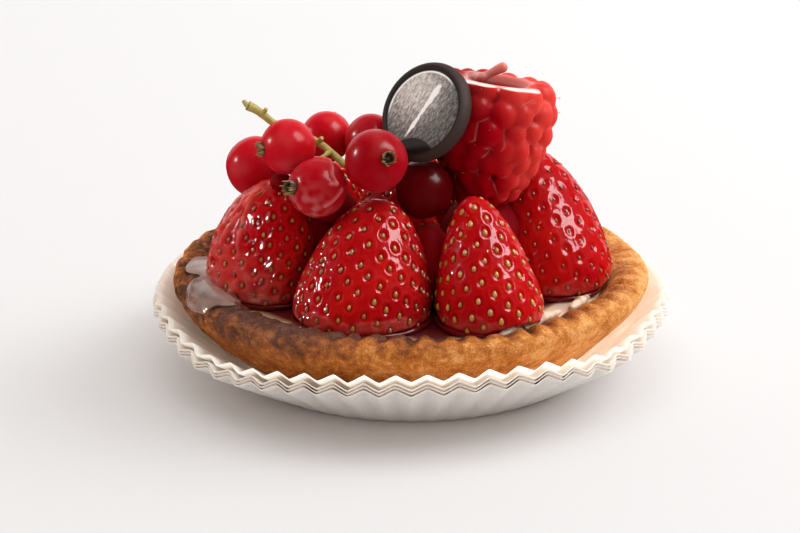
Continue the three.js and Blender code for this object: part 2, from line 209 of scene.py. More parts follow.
# Torn drupelets that stand above the raspberry's rim: place and radius
RASPBERRY_FLAPS = (
    ((13.0, 1.0, 51.5), 0.85), ((13.9, 1.0, 52.0), 0.85), ((14.8, 1.0, 52.5), 0.95),
    ((15.7, 1.0, 52.9), 1.05), ((10.3, -0.8, 51.9), 1.0), ((8.8, -1.6, 51.4), 1.1),
    ((12.0, 0.4, 51.4), 0.9),
)

# The painted highlight streak runs from one place on the face to another, and has widths at shares
# of its way.
# The chart is the side of the square that the face's UV map covers.
DISC = {
    "radius": 8.9,
    "thickness": 3.6,
    "centre": (2.5, -10.65, 48.3),
    "facing": (-0.567, -0.645, 0.512),
    "face_radius": 7.3,
    "chart": 20,
    "streak_highlight": ((2.2, 5.0), (-1.3, -5.4)),
    "streak_highlight_widths": (
        (0, 0.12, 0.35, 0.6, 0.74, 0.86, 1), (0.3, 0.62, 0.42, 0.26, 0.42, 0.24, 0.14)),
}

# The way to the small lamp, and the way a facet faces that mirrors it to the camera
LAMP_WAY = (-0.93, 0.05, 0.35)
GLINT_WAY = (-0.63, -0.6, 0.49)
# Each lamp, in metres and watts: name, the way to it, distance, size, power, colour, and
# whether it fills in light, shows only as a gleam in what is glossy, or does both
LAMPS = (
    ("window", (0.78, 0.25, 0.57), 1.0, (0.83, 0.7), 7.3, (0.97, 0.985, 1), "fill"),
    ("window_gleam", (0.62, -0.16, 0.785), 1.02, (0.54, 0.66), 15.5, (1, 1, 1), "gleam"),
    ("small_lamp", LAMP_WAY, 0.7, (0.09, 0.09), 2.6, (1, 0.98, 0.95), "gleam"),
    ("overhead", (0, 0.12, 1), 1.5, (2.4, 2.0), 8.3, (1, 0.98, 0.965), "fill"),
    ("ceiling", (0, 0.5, 1), 1.3, (1.2, 1.0), 1.2, (1, 1, 1), "both"),
    ("backdrop", (0, 1, 0.25), 1.2, (2.6, 0.9), 6.0, (1, 1, 1), "both"),
)
LAMP_TARGET_HEIGHT = 0.02
# The lens and its sensor in millimetres, and the camera's place and target in metres
CAMERA = {
    "lens": 130.57,
    "sensor": 36,
    "place": (0, -0.4838, 0.1906),
    "target": (-0.00206, 0, 0.0166),
}


class TartletSizes(bpy.types.PropertyGroup):
    """Counts and sizes of the tartlet's repeated detail."""

    pleats: bpy.props.IntProperty(
        name="Pleats", description="Flutes round each paper case", default=54, min=30, max=90)
    pleat_depth: bpy.props.FloatProperty(
        name="Pleat Depth", description="Half the height of a flute at the rim",
        default=0.62 * MM, min=0, max=0.003, unit="LENGTH")
    crimps: bpy.props.IntProperty(
        name="Crimps", description="Pinches round the rim of the shell", default=58, min=20, max=90)
    crimp_depth: bpy.props.FloatProperty(
        name="Crimp Depth", description="Depth of a pinch in the shell's rim",
        default=1.25 * MM, min=0, max=0.003, unit="LENGTH")
    seed_pitch: bpy.props.FloatProperty(
        name="Seed Pitch", description="Distance from one strawberry seed to the next",
        default=2.85 * MM, min=0.0015, max=0.006, unit="LENGTH")
    pit_depth: bpy.props.FloatProperty(
        name="Pit Depth", description="Depth of the dimple round a strawberry seed",
        default=0.42 * MM, min=0, max=0.001, unit="LENGTH")


def colour_choice(name, description, default):
    """A colour that can be changed in the panel."""
    return bpy.props.FloatVectorProperty(
        name=name, description=description, subtype="COLOR", default=default, min=0, max=1)


class TartletColours(bpy.types.PropertyGroup):
    """Colours of the tartlet's parts."""

    paper: colour_choice("Paper", "Baking paper", (0.97, 0.84, 0.76))
    # This colour also paints shade low on the inner sheet, toward its left and in its pleats'
    # hollows
    stain_and_shade: colour_choice("Stain", "Fat soaked into the paper", (0.55, 0.38, 0.24))
    crust_pale: colour_choice("Pale Crust", "Least baked pastry", (0.84, 0.42, 0.14))
    crust_brown: colour_choice("Brown Crust", "Well baked pastry", (0.36, 0.1, 0.016))
    crust_dark: colour_choice("Dark Crust", "Caramelised pastry", (0.1, 0.026, 0.007))
    cream: colour_choice("Cream", "Cream filling", (0.88, 0.72, 0.55))
    strawberry: colour_choice("Strawberry", "Ripe strawberry skin", (0.47, 0.0025, 0.006))
    seed: colour_choice("Seed", "Strawberry seeds", (0.66, 0.31, 0.05))
    currant: colour_choice("Currant", "Redcurrant skin", (0.56, 0.003, 0.01))
    raspberry: colour_choice("Raspberry", "Raspberry flesh", (0.42, 0.001, 0.008))
    stem: colour_choice("Stem", "Stalk of the currants", (0.42, 0.37, 0.06))
    husk: colour_choice("Dried Flower", "Withered flower end of a currant", (0.12, 0.06, 0.022))
    chocolate: colour_choice("Chocolate", "Dark chocolate", (0.055, 0.03, 0.024))
    silver: colour_choice("Silver", "Silver dusting on the disc", (0.5, 0.45, 0.42))


# Shapes of the edges, repeated from the solids so that the pieces fit them

def draws_from(seed):
    """Repeatable random numbers between 0 and 1."""
    state = [seed]

    def draw():
        state[0] = (state[0] * 1664525 + 1013904223) % 2 ** 32
        return state[0] / 2 ** 32

    return draw


def uneven_round(seed, lowest, highest):
    """A smooth uneven wave round a full turn, between about -1 and 1."""
    draw = draws_from(seed)
    waves = []
    for count in range(lowest, highest + 1):
        phase = draw() * TURN
        waves.append((count, phase, 0.5 + draw()))
    total = sum(size for _, _, size in waves)

    def wave(angle):
        heights = [size * np.cos(count * angle + phase) for count, phase, size in waves]
        return sum(heights) / total * 1.6

    return wave


rim_sway = uneven_round(23, 2, 7)
rim_level = uneven_round(31, 2, 9)


def paper_dip(angle):
    """How far the paper's flared edge has sunk at an angle round the case."""
    sunk = 0
    for at, width, depth in PAPER["dips"]:
        apart = np.degrees((angle - math.radians(at) + math.pi) % TURN - math.pi)
        sunk = sunk + depth * near_to(apart, 0, width)
    return sunk


# Fading from one place to the next

def held(values, least=0, most=1):
    """Values kept between two limits."""
    return np.clip(values, least, most)


def passed(values, start, span):
    """0 up to the start and 1 once a span beyond it. A negative span runs the other way."""
    return np.clip((values - start) / span, 0, 1)


def near_to(values, middle, width, power=2):
    """1 at the middle, fading smoothly to both sides."""
    return np.exp(-((values - middle) / width) ** power)


def toward(angle, bearing):
    """1 at a bearing in degrees, falling to 0 a quarter turn away from it."""
    return held(np.cos(angle - math.radians(bearing)))


def round_middle(points):
    """Each point's distance from the Z axis and its angle round it."""
    return np.hypot(points[:, 0], points[:, 1]), np.arctan2(points[:, 1], points[:, 0])


# Modelling helpers

def start_afresh():
    """Leaves edit mode and selects nothing."""
    if bpy.context.mode != "OBJECT":
        bpy.ops.object.mode_set(mode="OBJECT")
    bpy.ops.object.select_all(action="DESELECT")


def make_active(piece):
    """Selects one piece alone."""
    start_afresh()
    piece.select_set(True)
    bpy.context.view_layer.objects.active = piece


def turned(name, outline, sides):
    """A closed solid of rings about Z: a disc drawn on ring by ring, ending in a point.

    The outline is a list of (radius, height) in millimetres, and no radius is zero.
    """
    start_afresh()
    radius, height = outline[0]
    bpy.ops.mesh.primitive_circle_add(
        vertices=sides, radius=radius * MM, fill_type="NGON", location=(0, 0, height * MM))
    piece = bpy.context.object
    piece.name = name
    bpy.ops.object.transform_apply(location=True, rotation=False, scale=False)
    bpy.ops.object.mode_set(mode="EDIT")
    bpy.ops.mesh.select_all(action="SELECT")
    for next_radius, next_height in outline[1:]:
        rise = (0, 0, (next_height - height) * MM)
        bpy.ops.mesh.extrude_region_move(TRANSFORM_OT_translate={"value": rise})
        share = next_radius / radius
        bpy.ops.transform.resize(value=(share, share, 1), center_override=(0, 0, 0))
        radius, height = next_radius, next_height
    bpy.ops.mesh.merge(type="CENTER")
    bpy.ops.mesh.select_all(action="SELECT")
    bpy.ops.mesh.normals_make_consistent(inside=False)
    bpy.ops.object.mode_set(mode="OBJECT")
    return piece


def apply_modifier(piece, kind, **settings):
    """Adds a modifier to a piece and applies it."""
    make_active(piece)
    modifier = piece.modifiers.new(kind.title(), kind)
    for key, value in settings.items():
        setattr(modifier, key, value)
    bpy.ops.object.modifier_apply(modifier=modifier.name)


def subdivide(piece, levels):
    """Rounds a piece by splitting its faces some times over."""
    apply_modifier(piece, "SUBSURF", levels=levels, render_levels=levels)


def points_of(piece):
    """The piece's vertices in millimetres, one row each."""
    places = np.empty(len(piece.data.vertices) * 3)
    piece.data.vertices.foreach_get("co", places)
    return places.reshape(-1, 3) / MM


def normals_of(piece):
    """The way out at each vertex, one row each."""
    normals = np.empty(len(piece.data.vertices) * 3)
    piece.data.vertices.foreach_get("normal", normals)
    return normals.reshape(-1, 3)


def put_points(piece, points):
    """Moves the vertices to places in millimetres."""
    piece.data.vertices.foreach_set("co", (points * MM).ravel())
    piece.data.update()


def noise_at(points, size, seed=0):
    """Smooth noise of a feature size in millimetres, between about -1 and 1."""
    shift = Vector((seed * 3.7, seed * 1.3, seed * 2.1))
    return np.array([noise.noise(Vector(place) / size + shift) for place in points])


def put_values(piece, name, values):
    """Stores one number a vertex for the materials to read."""
    attribute = piece.data.attributes.new(name, "FLOAT", "POINT")
    attribute.data.foreach_set("value", np.asarray(values, dtype=np.float32))


def values_of(piece, name):
    """The numbers stored under a name, one for each vertex."""
    values = np.empty(len(piece.data.vertices), dtype=np.float32)
    piece.data.attributes[name].data.foreach_get("value", values)
    return values


def small_ball(detail, radius=1.0):
    """A ball at the origin, made of triangles."""
    start_afresh()
    bpy.ops.mesh.primitive_ico_sphere_add(subdivisions=detail, radius=radius * MM)
    return bpy.context.object


def smooth(piece):
    """Shades a piece without edges."""
    make_active(piece)
    bpy.ops.object.shade_smooth()


def settle(piece, slot, material, *nodes):
    """Gives a finished piece its material, puts it under the root and hides the solids that it
    stands for. The slot is not used.
    """
    piece.data.materials.clear()
    piece.data.materials.append(material)
    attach(piece, "root")
    if nodes:
        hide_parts(*nodes)


def joined(name, pieces):
    """One piece made of several."""
    start_afresh()
    for piece in pieces:
        piece.select_set(True)
    bpy.context.view_layer.objects.active = pieces[0]
    if len(pieces) > 1:
        bpy.ops.object.join()
    pieces[0].name = name
    return pieces[0]


def spread(name, pattern, frames):
    """Many copies of one small mesh in one piece, each at its own 4 by 4 frame in metres."""
    places = np.array([vertex.co for vertex in pattern.data.vertices])
    corners = np.hstack([places, np.ones((len(places), 1))])
    faces = [tuple(polygon.vertices) for polygon in pattern.data.polygons]
    all_places = []
    all_faces = []
    for index, one in enumerate(frames):
        all_places.append((corners @ np.array(one).T)[:, :3])
        start = index * len(places)
        all_faces += [tuple(start + corner for corner in face) for face in faces]
    mesh = bpy.data.meshes.new(name)
    mesh.from_pydata(np.vstack(all_places).tolist(), [], all_faces)
    piece = bpy.data.objects.new(name, mesh)
    bpy.context.scene.collection.objects.link(piece)
    bpy.data.objects.remove(pattern)
    return piece


def film(name, place, thickness, columns, rows):
    """A thin skin over a square patch. Two shares from 0 to 1 are turned into points."""
    start_afresh()
    bpy.ops.mesh.primitive_grid_add(x_subdivisions=columns, y_subdivisions=rows, size=2 * MM)
    piece = bpy.context.object
    piece.name = name
    flat = points_of(piece)
    put_points(piece, place((flat[:, 0] + 1) / 2, (flat[:, 1] + 1) / 2))
    apply_modifier(piece, "SOLIDIFY", thickness=thickness * MM, offset=1)
    make_active(piece)
    bpy.ops.object.mode_set(mode="EDIT")
    bpy.ops.mesh.select_all(action="SELECT")
    bpy.ops.mesh.remove_doubles(threshold=0.02 * MM)
    bpy.ops.mesh.normals_make_consistent(inside=False)
    bpy.ops.object.mode_set(mode="OBJECT")
    smooth(piece)
    return piece


def facing_frame(place, normal, along, scale):
    """A frame in metres whose Z points along the normal and whose Y leans along a direction."""
    up = Vector(normal).normalized()
    side = Vector(along).cross(up).normalized()
    ahead = up.cross(side)
    turn = Matrix((side, ahead, up)).transposed().to_4x4()
    sized = Matrix.Diagonal((*scale, 1))
    return Matrix.Translation(Vector(place) * MM) @ turn @ sized


def strand(name, points, radii, sides=8):
    """A tapering round strand along points in millimetres."""
    curve = bpy.data.curves.new(name, "CURVE")
    curve.dimensions = "3D"
    curve.bevel_depth = MM
    curve.bevel_resolution = max(0, sides // 2 - 2)
    curve.resolution_u = 4
    curve.use_fill_caps = True
    line = curve.splines.new("NURBS")
    line.points.add(len(points) - 1)
    line.order_u = 3
    line.use_endpoint_u = True
    for point, place, radius in zip(line.points, points, radii):
        point.co = (*(Vector(place) * MM), 1)
        point.radius = radius
    piece = bpy.data.objects.new(name, curve)
    bpy.context.scene.collection.objects.link(piece)
    make_active(piece)
    bpy.ops.object.convert(target="MESH")
    return bpy.context.object


# Materials

def surface(name, colour, roughness, **sockets):
    """A new material and its shader, with constants set on the shader's own sockets."""
    material = bpy.data.materials.new(name)
    material.use_nodes = True
    shader = material.node_tree.nodes["Principled BSDF"]
    shader.inputs["Base Color"].default_value = (*colour, 1)
    shader.inputs["Roughness"].default_value = roughness
    for key, value in sockets.items():
        shader.inputs[key.replace("_", " ").title().replace("Ior", "IOR")].default_value = value
    return material, shader


def add_node(material, kind, **inputs):
    """A new shader node with constants set on its sockets."""
    made = material.node_tree.nodes.new("ShaderNode" + kind)
    for key, value in inputs.items():
        made.inputs[key].default_value = value
    return made


def join(material, output, target):
    """Links one node's output to another's socket."""
    material.node_tree.links.new(output, target)


def place_of(material):
    """Each point's place in the object's own coordinates."""
    return add_node(material, "TexCoord").outputs["Object"]


def grain(material, size, detail=3.0, distortion=0.0):
    """Noise of a feature size in millimetres over the object's own coordinates."""
    made = add_node(
        material, "TexNoise", Scale=1 / (size * MM), Detail=detail, Distortion=distortion)
    join(material, place_of(material), made.inputs["Vector"])
    return made.outputs["Fac"]


def ramp(material, source, stops):
    """Turns a value into a colour through stops of place and colour."""
    made = add_node(material, "ValToRGB")
    stages = made.color_ramp.elements
    while len(stages) < len(stops):
        stages.new(0.5)
    for stage, (place, colour) in zip(stages, stops):
        stage.position = place
        stage.color = (*colour, 1)
    join(material, source, made.inputs["Fac"])
    return made.outputs["Color"]


def arithmetic(material, operation, first, second):
    """One sum with values, outputs or both."""
    made = add_node(material, "Math")
    made.operation = operation
    for index, value in enumerate((first, second)):
        if isinstance(value, (int, float)):
            made.inputs[index].default_value = value
        else:
            join(material, value, made.inputs[index])
    return made.outputs[0]


def product(material, first, second):
    """Two values or outputs multiplied."""
    return arithmetic(material, "MULTIPLY", first, second)


def fade(material, source, start, end):
    """0 up to the start and 1 from the end on, with a soft change between them."""
    made = add_node(material, "MapRange")
    made.interpolation_type = "SMOOTHSTEP"
    join(material, source, made.inputs["Value"])
    made.inputs["From Min"].default_value = start
    made.inputs["From Max"].default_value = end
    return made.outputs["Result"]


def mix(material, factor, first, second, blend="MIX"):
    """A blend of two colours."""
    made = add_node(material, "Mix")
    made.data_type = "RGBA"
    made.blend_type = blend
    sockets = (made.inputs[0], made.inputs[6], made.inputs[7])
    for socket, value in zip(sockets, (factor, first, second)):
        if isinstance(value, (int, float)):
            socket.default_value = value
        elif isinstance(value, tuple):
            socket.default_value = (*value, 1)
        else:
            join(material, value, socket)
    return made.outputs[2]


def stored(material, name):
    """The values that put_values stored under a name."""
    made = add_node(material, "Attribute")
    made.attribute_name = name
    return made.outputs["Fac"]


def roughen(material, shader, height, distance, below=None, socket="Normal"):
    """Adds a bump in millimetres to the shader, on top of one made before it."""
    made = add_node(material, "Bump", Distance=distance * MM, Strength=1.0)
    join(material, height, made.inputs["Height"])
    if below is not None:
        join(material, below, made.inputs["Normal"])
    join(material, made.outputs["Normal"], shader.inputs[socket])
    return made.outputs["Normal"]


def fruit_skin(name, colour, depth, roughness, gloss, coat_roughness):
    """Wet see-through flesh under a clear coat."""
    material, shader = surface(
        name, colour, roughness, subsurface_weight=1.0, subsurface_scale=depth * MM,
        specular_ior_level=0.05, coat_weight=gloss, coat_roughness=coat_roughness, coat_ior=1.34)
    shader.inputs["Subsurface Radius"].default_value = (1.0, 0.22, 0.12)
    return material, shader


# Pieces

def sheet_outline(index, wall):
    """A case in profile with its wall still flat: out along its underside and back."""
    base, thick, rings = PAPER["base_radius"], PAPER["thickness"], PAPER["wall_rings"]
    length = wall - (PAPER["sheets"] - 1 - index) * PAPER["step_back"]
    ups = [length * step / rings for step in range(rings + 1)]
    floor = (PAPER["middle_ring"], base - 1)
    outline = [(radius, 0) for radius in floor] + [(base + up, 0) for up in ups]
    return outline + [(base + up, thick) for up in reversed(ups)] + [
        (radius, thick) for radius in reversed(floor)]


def pleat_crest(angle, pleats):
    """How far a pleat stands out, from -1 to 1: a sharp fold, a little rounded."""
    wave = np.cos(angle * pleats)
    fold = 1 - 2 * np.arccos(held(wave, -1, 1)) / math.pi
    return 0.7 * fold + 0.3 * wave


def colour_sheet(piece, index, angle, share, crest):
    """Stores fat soaked in with painted shade, painted light at the rim, and where the paper glows
    as if lit through, up the wall's share.
    """
    place = np.column_stack([np.cos(angle), np.sin(angle), share])
    soaked = noise_at(place, PAPER["stain_size"], index)
    left = 0.5 - 0.5 * np.cos(angle)
    # Fat stains and painted shade: darker low on the wall near the crust, toward the left and in
    # the pleats' hollows
    stain_and_shade = held(1.1 - share * 1.1) * (0.1 + 0.22 * left)
    put_values(piece, "stain_and_shade", held(stain_and_shade * (0.4 + 1.8 * soaked - 0.2 * crest)))
    # Painted light: the inner sheet glows by emission, most toward the window and low on the wall
    toward_window = held(np.cos(angle + 0.35) - 0.15, 0, 0.7)
    painted_daylight = (0.1 + 0.7 * toward_window) * held(1.25 - share, 0, 0.68)
    # Painted light: a bright rim along the top of the sheet at the front, as if lit through the
    # paper
    lit_rim = passed(share, *PAPER["painted_light_span"]) * held(-1.6 * np.sin(angle) - 0.4)
    lit_rim = lit_rim * (1 - 0.55 * held(np.cos(angle)))
    put_values(piece, "rim_painted_light", lit_rim)
    put_values(piece, "painted_daylight", painted_daylight * (1 + 0.15 * crest + 0.5 * soaked) + 0.34 * lit_rim)


def paper_sheet(index, sizes):
    """One fluted case. Sheet 0 is the outermost and stands on the floor."""
    base = PAPER["base_radius"]
    run = PAPER["rim_radius"] - base
    wall = math.hypot(run, PAPER["rim_height"])
    along = (run / wall, PAPER["rim_height"] / wall)
    inward = (-along[1], along[0])
    floor = index * PAPER["pitch"]
    lift = PAPER["inner_lift"] if index == PAPER["sheets"] - 1 else 0
    sides = sizes.pleats * PAPER["points_a_pleat"]
    piece = turned(f"paper_case_{index + 1}_paper", sheet_outline(index, wall), sides)

    points = points_of(piece)
    radius, angle = round_middle(points)
    up = np.clip(radius - base, 0, None)
    into = points[:, 2]
    share = up / wall
    crest = pleat_crest(angle, sizes.pleats)
    depth = sizes.pleat_depth / MM * (PAPER["base_share"] + (1 - PAPER["base_share"]) * share)
    sway = uneven_round(int(draws_from(61 + index)() * 1000), 5, 23)
    off = floor + lift * share + into + crest * depth * (1 + 0.18 * sway(angle) * share)
    off += rim_sway(angle + 1) * 0.4 * share
    off += 0.12 * share * uneven_round(83, 9, 31)(angle)
    wall_height = along[1] * up + inward[1] * off - paper_dip(angle) * share
    height = np.where(up > 0, wall_height, floor + into)
    keep = np.where(radius > base - 0.5, base + along[0] * up + inward[0] * off, radius)
    put_points(piece, np.column_stack([keep * np.cos(angle), keep * np.sin(angle), height]))
    colour_sheet(piece, index, angle, share, crest)
    smooth(piece)
    return piece


def paper_material(colours, inner):
    """Fibrous paper. The inner sheet has fat stains with painted shade, painted light at its rim,
    and glows by emission as if lit through.
    """
    material, shader = surface(
        "fluted_paper_inner" if inner else "fluted_paper", colours.paper, 0.8,
        specular_ior_level=0.2, subsurface_weight=1.0, subsurface_scale=0.45 * MM)
    shader.inputs["Subsurface Radius"].default_value = (1.0, 0.9, 0.8)
    fibres = grain(material, 0.5, 4)
    soft = ramp(material, fibres, ((0.3, (0.92, 0.92, 0.92)), (0.7, (1, 1, 1))))
    paper = mix(material, 1.0, tuple(colours.paper), soft, "MULTIPLY")
    if inner:
        # Fat stains mixed with painted shade
        paper = mix(material, stored(material, "stain_and_shade"), paper, tuple(colours.stain_and_shade))
        # Painted light along the rim at the front
        paper = mix(material, stored(material, "rim_painted_light"), paper, (0.98, 0.95, 0.93))
        # Painted light: emission standing for light that comes through the paper
        shader.inputs["Emission Color"].default_value = (0.93, 0.92, 0.78, 1)
        join(material, stored(material, "painted_daylight"), shader.inputs["Emission Strength"])
    join(material, paper, shader.inputs["Base Color"])
    roughen(material, shader, grain(material, 0.8, 5), 0.04)
    return material


def crust_outline():
    """Radius, height, crimp press and share of the belly, from under the shell to its floor."""
    base, lip, inner = CRUST["base_radius"], CRUST["lip_radius"], CRUST["inner_radius"]
    widest, top, edge = CRUST["lip_height"], CRUST["top_height"], CRUST["inner_height"]
    bottom = PAPER["sheets"] * PAPER["pitch"] + 0.3
    foot = CRUST["foot_round"]
    return (
        (4, bottom, 0, 0),
        (base - foot, bottom, 0, 0),
        (base - 0.35, bottom + 0.2, 0, 0.05),
        (base, bottom + foot / 2, 0, 0.15),
        ((base + lip) / 2 - 3.1, widest / 2 - 2.9, 0, 0.7),
        ((base + lip) / 2 - 0.2, widest / 2, 0, 0.9),
        ((base + lip) / 2 + 2.4, widest / 2 + 2.6, 0, 0.8),
        (lip - 1.5, widest - 2.9, 0, 0.6),
        (lip - 0.35, widest - 1.3, 0.02, 0.25),
        (lip, widest, 0.04, 0),
        (lip - 0.2, top - 1.1, 0.06, 0),
        (lip - 0.75, top - 0.5, 0.2, 0),
        (lip - 1.6, top - 0.05, 0.4, 0),
        (lip - 2.6, top + 0.15, 0.68, 0),
        ((lip + inner) / 2 - 0.3, top + 0.1, 0.9, 0),
        (inner + 2.6, top - 0.2, 1, 0),
        (inner + 1.4, top - 0.75, 1, 0),
        (inner + 0.5, edge + 0.5, 0.6, 0),
        (inner, edge - 0.3, 0.2, 0),
        (inner - 0.8, edge - 2.5, 0, 0),
        (inner - 5.5, CRUST["floor"] + 0.5, 0, 0),
        (4, CRUST["floor"], 0, 0),
    )


def crust_blank():
    """The turned shell. Each vertex stores its row's press, share of the belly and place."""
    outline = crust_outline()
    piece = turned("crust_pastry", [row[:2] for row in outline], CRUST["sides"])
    radii, heights, presses, bellies = np.array(outline, dtype=float).T
    points = points_of(piece)
    radius, _ = round_middle(points)
    apart = np.hypot(radius[:, None] - radii[None, :], points[:, 2][:, None] - heights[None, :])
    row = apart.argmin(axis=1)
    put_values(piece, "press", presses[row])
    put_values(piece, "belly", bellies[row])
    put_values(piece, "along", row / (len(outline) - 1))
    subdivide(piece, 3)
    return piece


def pinched(radius, angle, height, press, left, sizes):
    """Radius and height after the rim is pinched: slanting grooves, each with its own depth."""
    draw = draws_from(5)
    depths = np.array([0.4 + 0.9 * draw() for _ in range(sizes.crimps)])
    phase = crimp_phase(angle, radius, sizes.crimps)
    which = np.floor(phase).astype(int) % sizes.crimps
    groove = near_to(phase - np.floor(phase), 0.5, 0.22) - 0.3
    dent = groove * press * depths[which] * sizes.crimp_depth / MM * (0.8 - 0.25 * left)
    dent = dent * (1 + 0.5 * held(-np.sin(angle)) ** 4 - 0.15 * held(np.cos(angle)))
    return radius - dent * 0.45, height - dent


def bake(piece, sizes):
    """Stores how brown each place of the shell is, and how much glaze lies on it."""
    points = points_of(piece)
    right, height = points[:, 0], points[:, 2]
    radius, angle = round_middle(points)
    press = values_of(piece, "press")
    left = held(0.5 - 0.6 * np.cos(angle + 0.3))
    front = held(0.55 - 0.75 * np.cos(angle - 1.1))
    far_left = held(-np.cos(angle)) * held(np.sin(angle) * 2 + 1)
    inner_edge = passed(radius, *BAKE["inner_edge"]) * held(press * 2)
    shoulder = passed(height, *BAKE["shoulder"])
    flank = passed(height, *BAKE["flank"]) * passed(right, *BAKE["flank_reach"])
    phase = crimp_phase(angle, radius, sizes.crimps)
    hollow = near_to(phase - np.floor(phase), 0.5, 0.24)
    forward = held(-0.3 - np.sin(angle), 0, 0.5)
    patches = noise_at(points, 5.5, 5)
    mottle = noise_at(points, 1.2, 8) + 0.8 * noise_at(points, 0.7, 9)

    # Browner toward the left, and in the crimps' hollows, most at the front: dark glaze lies there
    # and shade is painted in the creases
    brown = 0.1 + 0.3 * left + press * (0.05 + 0.34 * left + (0.02 + forward + 0.2 * left) * hollow)
    brown = brown + patches * (0.2 + 0.14 * left) + noise_at(points, 2.1, 6) * 0.1
    brown = brown + shoulder * passed(right, *BAKE["shoulder_reach"]) * 0.24
    brown = brown + 0.06 * held(-np.sin(angle))
    brown = brown - 0.16 * left * press + flank * 0.19 + (0.1 + 0.31 * left * shoulder) * mottle
    brown = brown - 0.42 * far_left * shoulder
    brown = brown + inner_edge * (0.06 + 0.3 * front)
    put_values(piece, "brown", held(brown))

    wet = inner_edge * (0.15 + 0.7 * front) * (0.75 + 0.8 * patches)
    wet = wet + press * left * 0.5 * held(0.1 - np.sin(angle))
    wet = wet + (flank * shoulder * 0.5 + flank * 0.15) * held(-0.35 - np.sin(angle) * 1.6)
    put_values(piece, "wet", held(wet * (1 - 0.85 * far_left)))


def crust_shell(sizes):
    """The shell: turned, pinched round its rim, roughened and browned."""
    piece = crust_blank()
    points = points_of(piece)
    radius, angle = round_middle(points)
    height = points[:, 2]
    press, belly, along = (values_of(piece, name) for name in ("press", "belly", "along"))
    left = held(0.5 - 0.75 * np.cos(angle + 0.35))
    floor = CRUST["floor"]
    high = held((height - floor) / (CRUST["lip_height"] - floor), 0, 1.2)
    outer = along < CRUST["outer_share"]
    grown = radius + np.where(outer, rim_sway(angle) * CRUST["rim_sway"] * high, 0)
    grown = grown + belly * CRUST["belly"] * (0.4 - 0.6 * np.cos(angle + 0.2))
    height = height + np.where(press > 0.01, rim_level(angle) * CRUST["rim_rise"], 0)
    grown, height = pinched(grown, angle, height, press, left, sizes)
    points = np.column_stack([grown * np.cos(angle), grown * np.sin(angle), height])
    put_points(piece, points)

    # Lumps of dough, larger where the shell is most baked, and crumbs on them
    lumps = noise_at(points, 3.4, 2) * (0.14 + 0.2 * left)
    lumps += noise_at(points, 1.9, 3) * (0.12 + 0.3 * left + press * (0.1 + 0.3 * left))
    shown = passed(points[:, 2], 4, 6) * np.where(along < 0.9, 1, 0)
    put_points(piece, points + normals_of(piece) * (lumps * shown)[:, None])
    bake(piece, sizes)
    smooth(piece)
    return piece


def crimp_phase(angle, radius, crimps):
    """Counts the pinches round the rim, a whole number at each ridge between two of them."""
    uneven = 0.3 * uneven_round(91, 6, 21)(angle)
    return (angle / TURN % 1) * crimps + uneven + (radius - 38) * 0.06


def crust_material(colours):
    """Pastry, pale to caramelised, speckled and wet where glaze lies."""
    material, shader = surface(
        "baked_pastry", colours.crust_brown, 0.7, specular_ior_level=0.15,
        subsurface_weight=0.35, subsurface_scale=1.6 * MM, coat_roughness=0.07, coat_ior=1.4)
    shader.inputs["Subsurface Radius"].default_value = (1.0, 0.5, 0.2)
    brown = stored(material, "brown")
    for size, detail, distortion, amount in ((1.3, 8, 0.3, 0.75), (0.3, 2, 0, 0.7)):
        speckle = arithmetic(
            material, "SUBTRACT", grain(material, size, detail, distortion), 0.5)
        brown = arithmetic(material, "ADD", brown, product(material, speckle, amount))
    tone = ramp(material, brown, (
        (0.02, tuple(colours.crust_pale)), (0.28, (0.62, 0.215, 0.035)),
        (0.56, tuple(colours.crust_brown)), (0.95, tuple(colours.crust_dark))))
    join(material, tone, shader.inputs["Base Color"])
    join(material, stored(material, "wet"), shader.inputs["Coat Weight"])
    below = roughen(material, shader, grain(material, 1.1, 6), 0.55)
    finest = roughen(material, shader, grain(material, 0.4, 3), 0.34, below)
    roughen(material, shader, grain(material, 0.6, 2), 0.5, finest, "Coat Normal")
    return material


def cream_filling():
    """The layer of cream that fills the shell up to just under its rim."""
    side, floor = CRUST["inner_radius"] - CREAM["rim_gap"], CRUST["floor"]
    level, edge = CREAM["level"], CREAM["edge_level"]
    outline = [
        (3, floor + 0.3), (side - 4.9, floor + 0.7), (side, CRUST["inner_height"] - 2.3),
        (side + 0.55, edge - 0.2), (side + 0.35, edge + 0.25), (side - 1.2, edge + 0.4),
        (side * 0.8, level - 0.1), (side * 0.55, level), (side * 0.3, level), (3, level),
    ]
    piece = turned("cream_filling", outline, 96)
    subdivide(piece, 2)
    points = points_of(piece)
    ripple = noise_at(points, 5.0, 11) * 0.18 + noise_at(points, 1.8, 12) * 0.08
    points[:, 2] += np.where(points[:, 2] > edge - 0.3, ripple, 0)
    put_points(piece, points)

    # Juice: more at the left and under the fruit, little in the open place at the front right; the
    # dark red under the fruit is also painted shade
    radius, angle = round_middle(points)
    open_side = near_to(np.degrees(angle), *CREAM["open_side"])
    juice_and_shade = held(0.25 - 0.5 * np.cos(angle + 0.7), 0, 0.5) + noise_at(points, 3.0, 13) * 0.15
    juice_and_shade = juice_and_shade * (1 - 0.8 * open_side)
    # Dark red under the fruit: juice, and painted shade
    juice_and_shade = juice_and_shade + passed(radius, CREAM["juice_and_shade_radius"] - 2.6 * open_side, -1.2)
    juice_and_shade = juice_and_shade + near_to(np.degrees(angle), *CREAM["juicy_gap"])
    put_values(piece, "juice_and_shade", held(juice_and_shade))
    smooth(piece)
    return piece


